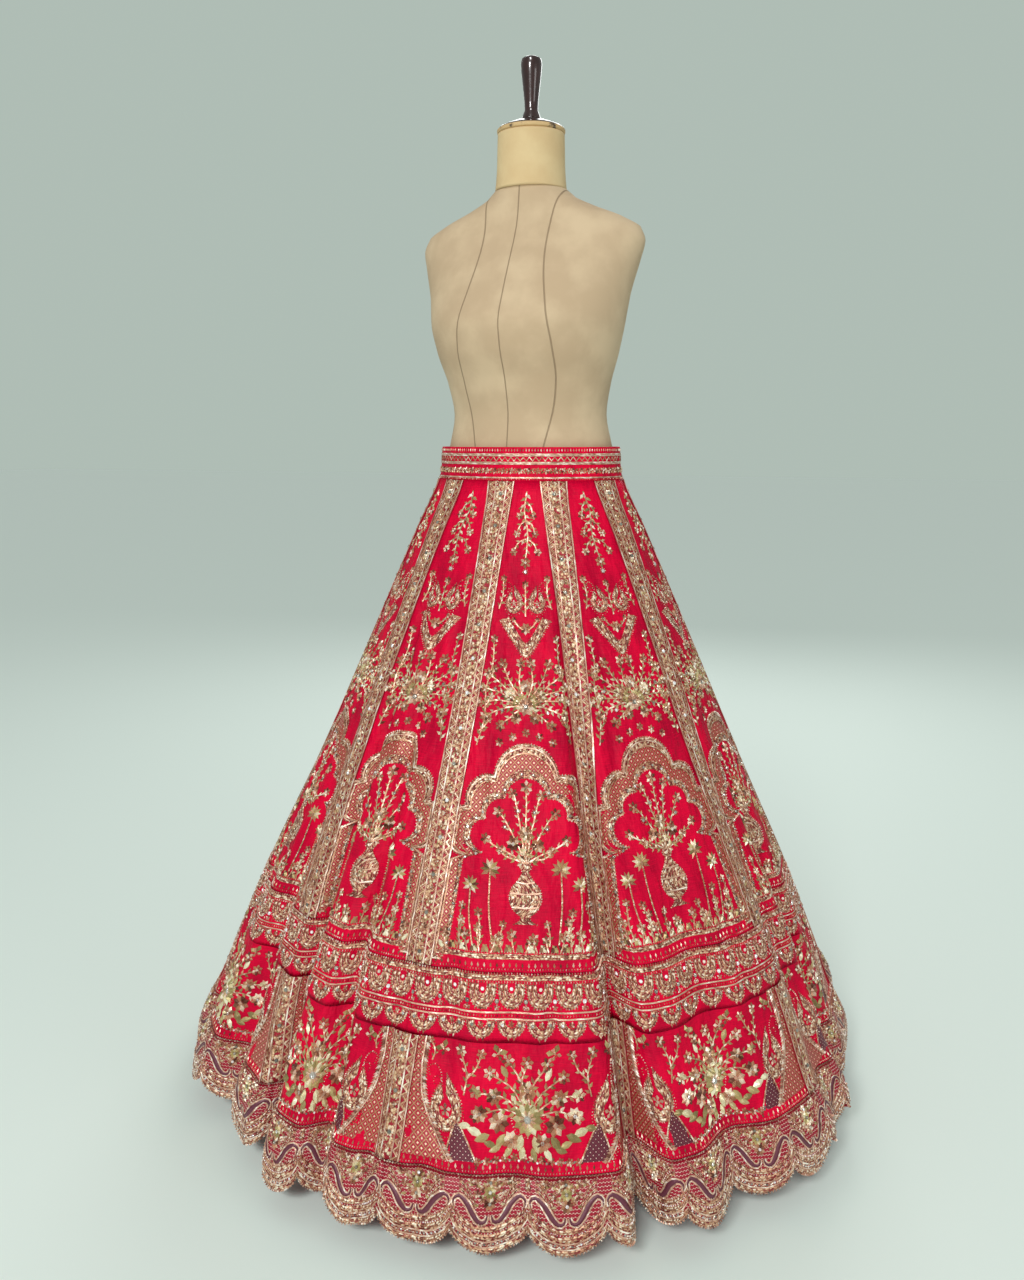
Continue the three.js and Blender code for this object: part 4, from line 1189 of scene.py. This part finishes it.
def hem_work():
    work = Needlework(LAID_ON + TAPE)
    top = -fall_at(HEM_BORDER_TOP) - EDGE
    work.strip("seeded", across_panel(SCALLOP_SHARES, np.full(len(SCALLOP_SHARES), top)), above_hem(0.4),
               lift=0.0, rows=8, run=False, foot=-TAPE)
    work.beads(row_across(top - 1.6), 1.4, 3.9, "gold", lift=0.6)
    for low, high, raised in ((1.5, 9.0, 1.1), (17.5, 26.0, 1.3), (28.0, 35.0, 1.2)):
        work.strip("wirework", above_hem(high), above_hem(low), lift=raised, rows=2)
    work.beads(above_hem(0.6), 1.8, 4.5, "pale_gold", lift=0.6)
    work.cord(above_hem(9.8), 1.0, "pale_gold", lift=0.6)
    work.cord(above_hem(16.8), 1.0, "pale_gold", lift=0.6)
    work.beads(above_hem(27.0), 1.3, 4.0, "pearl", lift=0.7)
    work.beads(above_hem(36.4), 1.5, 4.1, "pale_gold", lift=0.6)
    for k in range(SCALLOPS):
        for share in np.linspace(0.06, 0.94, 9):
            place = above_hem(13.2, np.array([(k + share) / SCALLOPS]))[0]
            work.rosette(*place, 4.4, petals=5, heart="pearl")
        for share in np.linspace(0.115, 0.885, 8):
            place = above_hem(13.0, np.array([(k + share) / SCALLOPS]))[0]
            work.sew("stone", *place, 0, 1.7, "stone", lift=0.2)
        middle = (k + 0.5) / SCALLOPS
        for side in (1, -1):
            # a scroll that falls to the middle of the scallop and turns up at both of its ends
            scroll = np.array([(0.03, -47), (0.05, -53), (0.12, -54), (0.20, -46), (0.29, -33), (0.40, -25),
                               (0.47, -30), (0.46, -37)])
            line = curve(scroll * (100, 1), step=5) / (100, 1)
            wide = 3.4 * np.sin(np.linspace(0.35, 2.9, len(line))) + 0.6
            place = across_panel(middle + side * line[:, 0] / SCALLOPS, top + line[:, 1])
            way = np.gradient(place, axis=0)
            off = np.stack([-way[:, 1], way[:, 0]], 1) / np.linalg.norm(way, axis=1)[:, None] * wide[:, None]
            work.strip("mauve_thread", place + off, place - off, lift=0.9)
            work.cord(place + off, 0.9, "pale_gold", lift=0.6)
            work.cord(place - off, 0.9, "pale_gold", lift=0.6)
            # rows of wire that fill the corner above the scroll, each following it
            for rise in (9.0, 17.0):
                above = place[6:-4] + (0, rise)
                above = above[above[:, 1] < top - 6]
                if len(above) > 3:
                    work.strip("wirework", above + (0, 2.6), above - (0, 2.6), lift=0.9)
                    work.beads(above + (0, 3.8), 1.2, 3.7, "pale_gold", lift=0.6)
        for drop, size in ((10, 6.5), (21, 8.5), (34, 8.5)):
            finish = "leaf" if drop == 21 else "gold"
            work.rosette(*across_panel(middle, top - drop), size, petals=8, finish=finish)
            work.sew("stone", *across_panel(middle, top - drop), 0, 2.3, "stone", lift=1.6)
        for side in (1, -1):
            for part, drop in ((0.09, 16), (0.10, 28), (0.17, 10), (0.17, 22), (0.26, 9)):
                work.rosette(*across_panel(middle + side * part / SCALLOPS, top - drop), 5.4, petals=6)
            for part, drop, turn in ((0.05, 15, 60), (0.06, 28, 40), (0.13, 16, 60), (0.21, 13, 20),
                                     (0.13, 35, 0)):
                x, y = across_panel(middle + side * part / SCALLOPS, top - drop)
                work.sew("leaf", x, y, turn if side > 0 else 180 - turn, 8.0, "leaf", lift=0.2)
            cusp = across_panel(middle + side * 0.485 / SCALLOPS, 0.0)[0]
            for drop in (8, 15):
                work.rosette(cusp, top - drop, 4.6, petals=6)
    for (x, y), way in zip(*along_line(above_hem(0.2), 5.2, start=2.6)):
        work.sew("petal", x, y + 2.5, way - 90, 3.4, "pale_gold", lift=-0.6)
    return work


hem = hem_work()
ground, hem = hem.strips.pop(0), hem.raised()
depth = (LENGTH + SCALLOP_DEPTH - fall_at(HEM_BORDER_TOP)) * MM
for panel in range(PANELS):
    worked(f"hem_scallops_{panel + 1:02d}", f"hem_border_{panel + 1:02d}", "zari_border", ground, hem,
           [hangs[panel].lay], "panel_01", (HEM_WIDTH * MM, depth), HEM_WIDTH * MM * depth * 0.85)

# ---- Waistband ----
# A folded band of the same silk, 49 mm deep, in a front and a back that meet at the sides. It has small drops
# at its top edge, a zigzag between double cords, and a floral row.

WAISTBAND, WAISTBAND_PROUD = 3.0, 1.0


class Band:
    """The waistband's face: x runs round it from its middle and y down from its top edge."""

    def __init__(self, middle):
        self.angles = np.linspace(middle - 90, middle + 90, 181)
        ring = on_skirt(self.angles, 986.0)
        self.far = np.concatenate([[0], np.cumsum(np.linalg.norm(np.diff(ring, axis=0), axis=1))])
        self.far -= self.far[-1] / 2

    def lay(self, flat):
        angle = np.interp(flat[:, 0], self.far, self.angles)
        height = WAIST_TOP + flat[:, 1]
        across = on_skirt(angle + 0.5, height) - on_skirt(angle - 0.5, height)
        down = on_skirt(angle, height - 2) - on_skirt(angle, height + 2)
        off = np.cross(down, across)
        off /= np.linalg.norm(off, axis=1, keepdims=True)
        return on_skirt(angle, height) + off * (flat[:, 2:] + WAISTBAND_PROUD)


for name, middle in (("front", 0), ("back", 180)):
    band = Band(middle)
    half = band.far[-1] - EDGE
    columns = np.linspace(-half, half, 91)
    rows = -np.array([0, 0.0, 1.2, 3.5, 12, 24, 36, 46, 48.4, 49, 49])
    rounded = np.array([-2.0, -0.7, -0.2, 0, 0, 0, 0, 0, -0.3, -0.8, -2.0])
    x, y = np.meshgrid(columns, rows)
    z = np.repeat(rounded[:, None], len(columns), 1)
    points = [np.stack([x, y, lift], -1).reshape(-1, 3) for lift in (z, np.full(x.shape, -WAISTBAND))]
    faces = shell(x.size, len(rows), len(columns))
    work = Needlework()

    def straight(y):
        return np.stack([columns, np.full(len(columns), y)], 1)

    for (px, py), _ in zip(*along_line(straight(-4.5), 4.4, start=3.0)):
        work.sew("leaf", px, py - 2.5, 90, 4.6, "pale_gold", lift=0.1)
    for y in (-10.5, -12.6, -22.5, -24.6, -45.0):
        work.cord(straight(y), 0.55, "pale_gold", lift=0.3)
    teeth = np.arange(-half + 2, half - 2, 4.6)
    work.cord(np.stack([teeth, -17.5 + 2.8 * (-1.0) ** np.arange(len(teeth))], 1), 0.6, "gold", lift=0.3)
    work.beads(straight(-47.2), 1.08, 3.7, "gold", lift=0.3)
    for (px, py), _ in zip(*along_line(straight(-34.8), 13.0, start=6.0)):
        work.rosette(px, py, 5.2, petals=6)
        for side in (1, -1):
            work.sew("leaf", px + 5, py, side * 50, 5.6, "leaf", lift=0.2)
            work.sew("leaf", px - 5, py, 180 + side * 50, 5.6, "gold", lift=0.2)
    worked(f"band_{name}", f"waistband_{name}", "waistband", quads("silk", np.concatenate(points), faces),
           work.raised(), [band.lay], "form_torso", (2 * half * MM, 0.049))

# ---- Dress form ----
# A limbless tailor's form on a pole: padded torso under beige canvas with its princess seams, a lighter neck,
# a dark turned cap with a worn rim and a handle on top.

TORSO = np.array([  # height, half width, half depth, how far forward the middle lies
    (806, 128, 98, 0), (812, 146, 114, 0), (840, 154, 121, 0), (880, 157, 122, 0), (925, 149, 117, 0),
    (965, 138, 110, 0), (1011, 130, 103, 0), (1060, 121, 95, 2), (1110, 129, 103, 7), (1150, 141, 117, 13),
    (1190, 150, 122, 15), (1235, 157, 108, 8), (1280, 169, 90, 0), (1310, 176, 77, -5), (1330, 168, 69, -7),
    (1346, 140, 64, -7), (1362, 100, 60, -6), (1376, 70, 56, -4), (1388, 56, 52, -2)], float)
NECK = np.array([(54, 1388.3), (52.5, 1402), (51, 1425), (50.5, 1450), (50, 1468)], float)  # radius, height
NECK_CAP = np.array([(47, 1468.3), (50.5, 1470), (51, 1474), (47, 1477.5), (28, 1485), (15, 1490)], float)
HANDLE = np.array([(14.5, 1490.3), (12.5, 1496), (10, 1503), (10.2, 1512), (12.5, 1534), (15, 1556),
                   (15.6, 1566), (14.4, 1573), (9, 1576)], float)
POLE = np.array([(16, 24.3), (16, 805.7)], float)
BASE = np.array([(205, 0), (210, 4), (210, 10), (200, 14), (60, 17), (30, 21), (26, 24)], float)


def lathed(name, finish, rings, node, sides=72):
    """A closed body of oval rings: height, half width, half depth and how far forward, from the bottom up."""
    turn = np.linspace(0, 2 * math.pi, sides, endpoint=False)
    points = np.stack([rings[:, 1:2] * np.sin(turn), -rings[:, 2:3] * np.cos(turn) - rings[:, 3:4],
                       np.repeat(rings[:, :1], sides, 1)], -1).reshape(-1, 3)
    index = np.arange(len(rings) * sides).reshape(len(rings), sides)
    after = np.roll(index, -1, 1)
    faces = np.stack([index[:-1], after[:-1], after[1:], index[1:]], -1).reshape(-1, 4)
    corners = np.concatenate([faces.ravel(), index[0, ::-1], index[-1]])
    counts = np.concatenate([np.full(len(faces), 4), [sides, sides]])
    piece = piece_of(name, [Faces(finish, points, corners, counts)])
    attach(piece, "root")
    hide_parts(node)
    return piece


def smoothed(table, per_step=4):
    """A table's rows and more on a smooth curve between them, sharp where two lie close together."""
    rows = [table[:1]]
    slopes = np.zeros_like(table)
    slopes[1:-1] = (table[2:] - table[:-2]) / 2
    for i, (a, b) in enumerate(zip(table, table[1:])):
        t = np.linspace(0, 1, per_step + 1)[1:, None]
        m0, m1 = (np.clip(s, -abs(b - a), abs(b - a)) for s in (slopes[i], slopes[i + 1]))
        rows.append((1 + 2 * t) * (1 - t) ** 2 * a + t * (1 - t) ** 2 * m0 + t * t * (3 - 2 * t) * b
                    - t * t * (1 - t) * m1)
    return np.concatenate(rows)


def turned_rings(profile, per_step=3):
    smooth = smoothed(profile, per_step)
    return np.stack([smooth[:, 1], smooth[:, 0], smooth[:, 0], np.zeros(len(smooth))], 1)


def canvas_finish(name, light, dark, seams):
    canvas = Surface(name, roughness=0.85)
    place = canvas.node("ShaderNodeTexCoord", {}, {}).outputs["Object"]
    parts = canvas.node("ShaderNodeSeparateXYZ", {}, {0: place})
    x, y, z = (Level(canvas, parts.outputs[i]) * 1000 for i in range(3))
    weave = (x + y).wave(1.1) * 0.5 + z.wave(1.1) * 0.5
    marks = canvas.noise(place, scale=16.0, detail=4.0)
    tone = canvas.mix(marks.over(0.35, 0.7), dark, light)
    if seams:
        princess = abs(abs(x) - (62 + 12 * (z * 0.018).math("SINE"))).over(1.6, 0.5)
        centre = abs(x).over(1.2, 0.4)
        line = princess.most(centre)
        canvas.feed("Base Color", canvas.mix(line * 0.7, tone, (0.24, 0.16, 0.09)))
        canvas.relief(weave * 0.25 - line, 0.8)
    else:
        canvas.feed("Base Color", tone)
        canvas.relief(weave, 0.3)
    FINISHES[name] = canvas.material


canvas_finish("beige_canvas", (0.66, 0.50, 0.32), (0.55, 0.40, 0.25), seams=True)
canvas_finish("cream_canvas", (0.78, 0.60, 0.33), (0.70, 0.50, 0.26), seams=False)

varnish = Surface("dark_varnish", roughness=0.22)
place = varnish.node("ShaderNodeTexCoord", {}, {}).outputs["Object"]
height = Level(varnish, varnish.node("ShaderNodeSeparateXYZ", {}, {0: place}).outputs[2]) * 1000
grain = varnish.noise(place, scale=60.0, detail=4.0)
worn = height.over(1476.2, 1474.0).most(height.over(1574.6, 1576.0) * 0.5) * grain.over(0.3, 0.42)
wood = varnish.mix(grain, (0.010, 0.003, 0.003), (0.05, 0.012, 0.010))
varnish.feed("Base Color", varnish.mix(worn, wood, (0.62, 0.42, 0.20)))
varnish.feed("Roughness", 0.2 + worn * 0.4 + grain * 0.1)
varnish.feed("Coat Weight", 1 - worn)
varnish.relief(grain, 0.3)
FINISHES["dark_varnish"] = varnish.material

iron = Surface("blackened_iron", metallic=0.7, roughness=0.45)
place = iron.node("ShaderNodeTexCoord", {}, {}).outputs["Object"]
casting = iron.noise(place, scale=140.0, detail=4.0)
iron.feed("Base Color", iron.mix(casting, (0.018, 0.017, 0.018), (0.05, 0.048, 0.05)))
iron.feed("Roughness", 0.35 + casting * 0.3)
iron.relief(casting, 0.4)
FINISHES["blackened_iron"] = iron.material

lathed("canvas_torso", "beige_canvas", smoothed(TORSO), "form_torso")
lathed("canvas_neck", "cream_canvas", turned_rings(NECK), "form_neck")
lathed("turned_cap", "dark_varnish", turned_rings(NECK_CAP), "neck_cap")
lathed("turned_handle", "dark_varnish", turned_rings(HANDLE), "neck_handle")
lathed("iron_pole", "blackened_iron", turned_rings(POLE, 1), "stand_pole", sides=32)
lathed("iron_base", "blackened_iron", turned_rings(BASE, 2), "stand_base")

# ---- Studio ----
# A pale floor and backdrop in even daylight, a soft lamp in front, a weaker one on the right and one behind.

CAMERA_ANGLE, CAMERA_PITCH = math.radians(20.0), math.radians(10.5)
CAMERA_YAW = math.atan(18 / 1075)
CAMERA_DISTANCE, CAMERA_HEIGHT = 1.715, 1.020
view = bpy.data.cameras.new("camera")
view.lens = view.sensor_width * 1075 / 1280
camera = bpy.data.objects.new("camera", view)
camera.location = (CAMERA_DISTANCE * math.sin(CAMERA_ANGLE), -CAMERA_DISTANCE * math.cos(CAMERA_ANGLE),
                   CAMERA_HEIGHT)
camera.rotation_euler = (math.pi / 2 - CAMERA_PITCH, 0, CAMERA_ANGLE + CAMERA_YAW)
bpy.context.scene.collection.objects.link(camera)
bpy.context.scene.camera = camera
bpy.context.scene.view_settings.view_transform = "Standard"

FLOOR_HALF = 30.0
floor_mesh = bpy.data.meshes.new("floor")
corners = [(x * FLOOR_HALF, y * FLOOR_HALF, 0) for x, y in ((-1, -1), (1, -1), (1, 1), (-1, 1))]
floor_mesh.from_pydata(corners, [], [(0, 1, 2, 3)])
paint = Surface("studio_floor", roughness=0.8)
paint.feed("Base Color", (0.81, 0.91, 0.85, 1))
floor_mesh.materials.append(paint.material)
floor = bpy.data.objects.new("floor", floor_mesh)
bpy.context.scene.collection.objects.link(floor)

world = bpy.data.worlds.new("studio")
bpy.context.scene.world = world
world.use_nodes = True
sky, links = world.node_tree.nodes, world.node_tree.links
sky["Background"].inputs["Color"].default_value = (0.84, 0.92, 0.88, 1)
sky["Background"].inputs["Strength"].default_value = 0.36
backdrop = sky.new("ShaderNodeBackground")
backdrop.inputs["Color"].default_value = (0.432, 0.510, 0.462, 1)
seen = sky.new("ShaderNodeMixShader")
links.new(sky.new("ShaderNodeLightPath").outputs["Is Camera Ray"], seen.inputs[0])
links.new(sky["Background"].outputs[0], seen.inputs[1])
links.new(backdrop.outputs[0], seen.inputs[2])
links.new(seen.outputs[0], sky["World Output"].inputs["Surface"])


def lamp(name, power, size, place, aim):
    light = bpy.data.lights.new(name, "AREA")
    light.energy, light.size = power, size
    made = bpy.data.objects.new(name, light)
    made.location = place
    made.rotation_euler = (Vector(aim) - Vector(place)).to_track_quat("-Z", "Y").to_euler()
    bpy.context.scene.collection.objects.link(made)


lamp("key", 32, 0.5, (0.1, -2.9, 2.2), (0.05, 0, 0.6))
lamp("right", 8, 1.0, (2.9, -1.2, 1.5), (0, 0, 0.5))
lamp("back", 26, 1.6, (-0.5, 2.8, 2.4), (0, 0, 0.6))

daylight = bpy.data.lights.new("daylight", "SUN")
daylight.energy, daylight.angle = 1.15, math.radians(14)
window = bpy.data.objects.new("daylight", daylight)
window.rotation_euler = Vector((-0.25, 1.7, -1.5)).to_track_quat("-Z", "Y").to_euler()
bpy.context.scene.collection.objects.link(window)
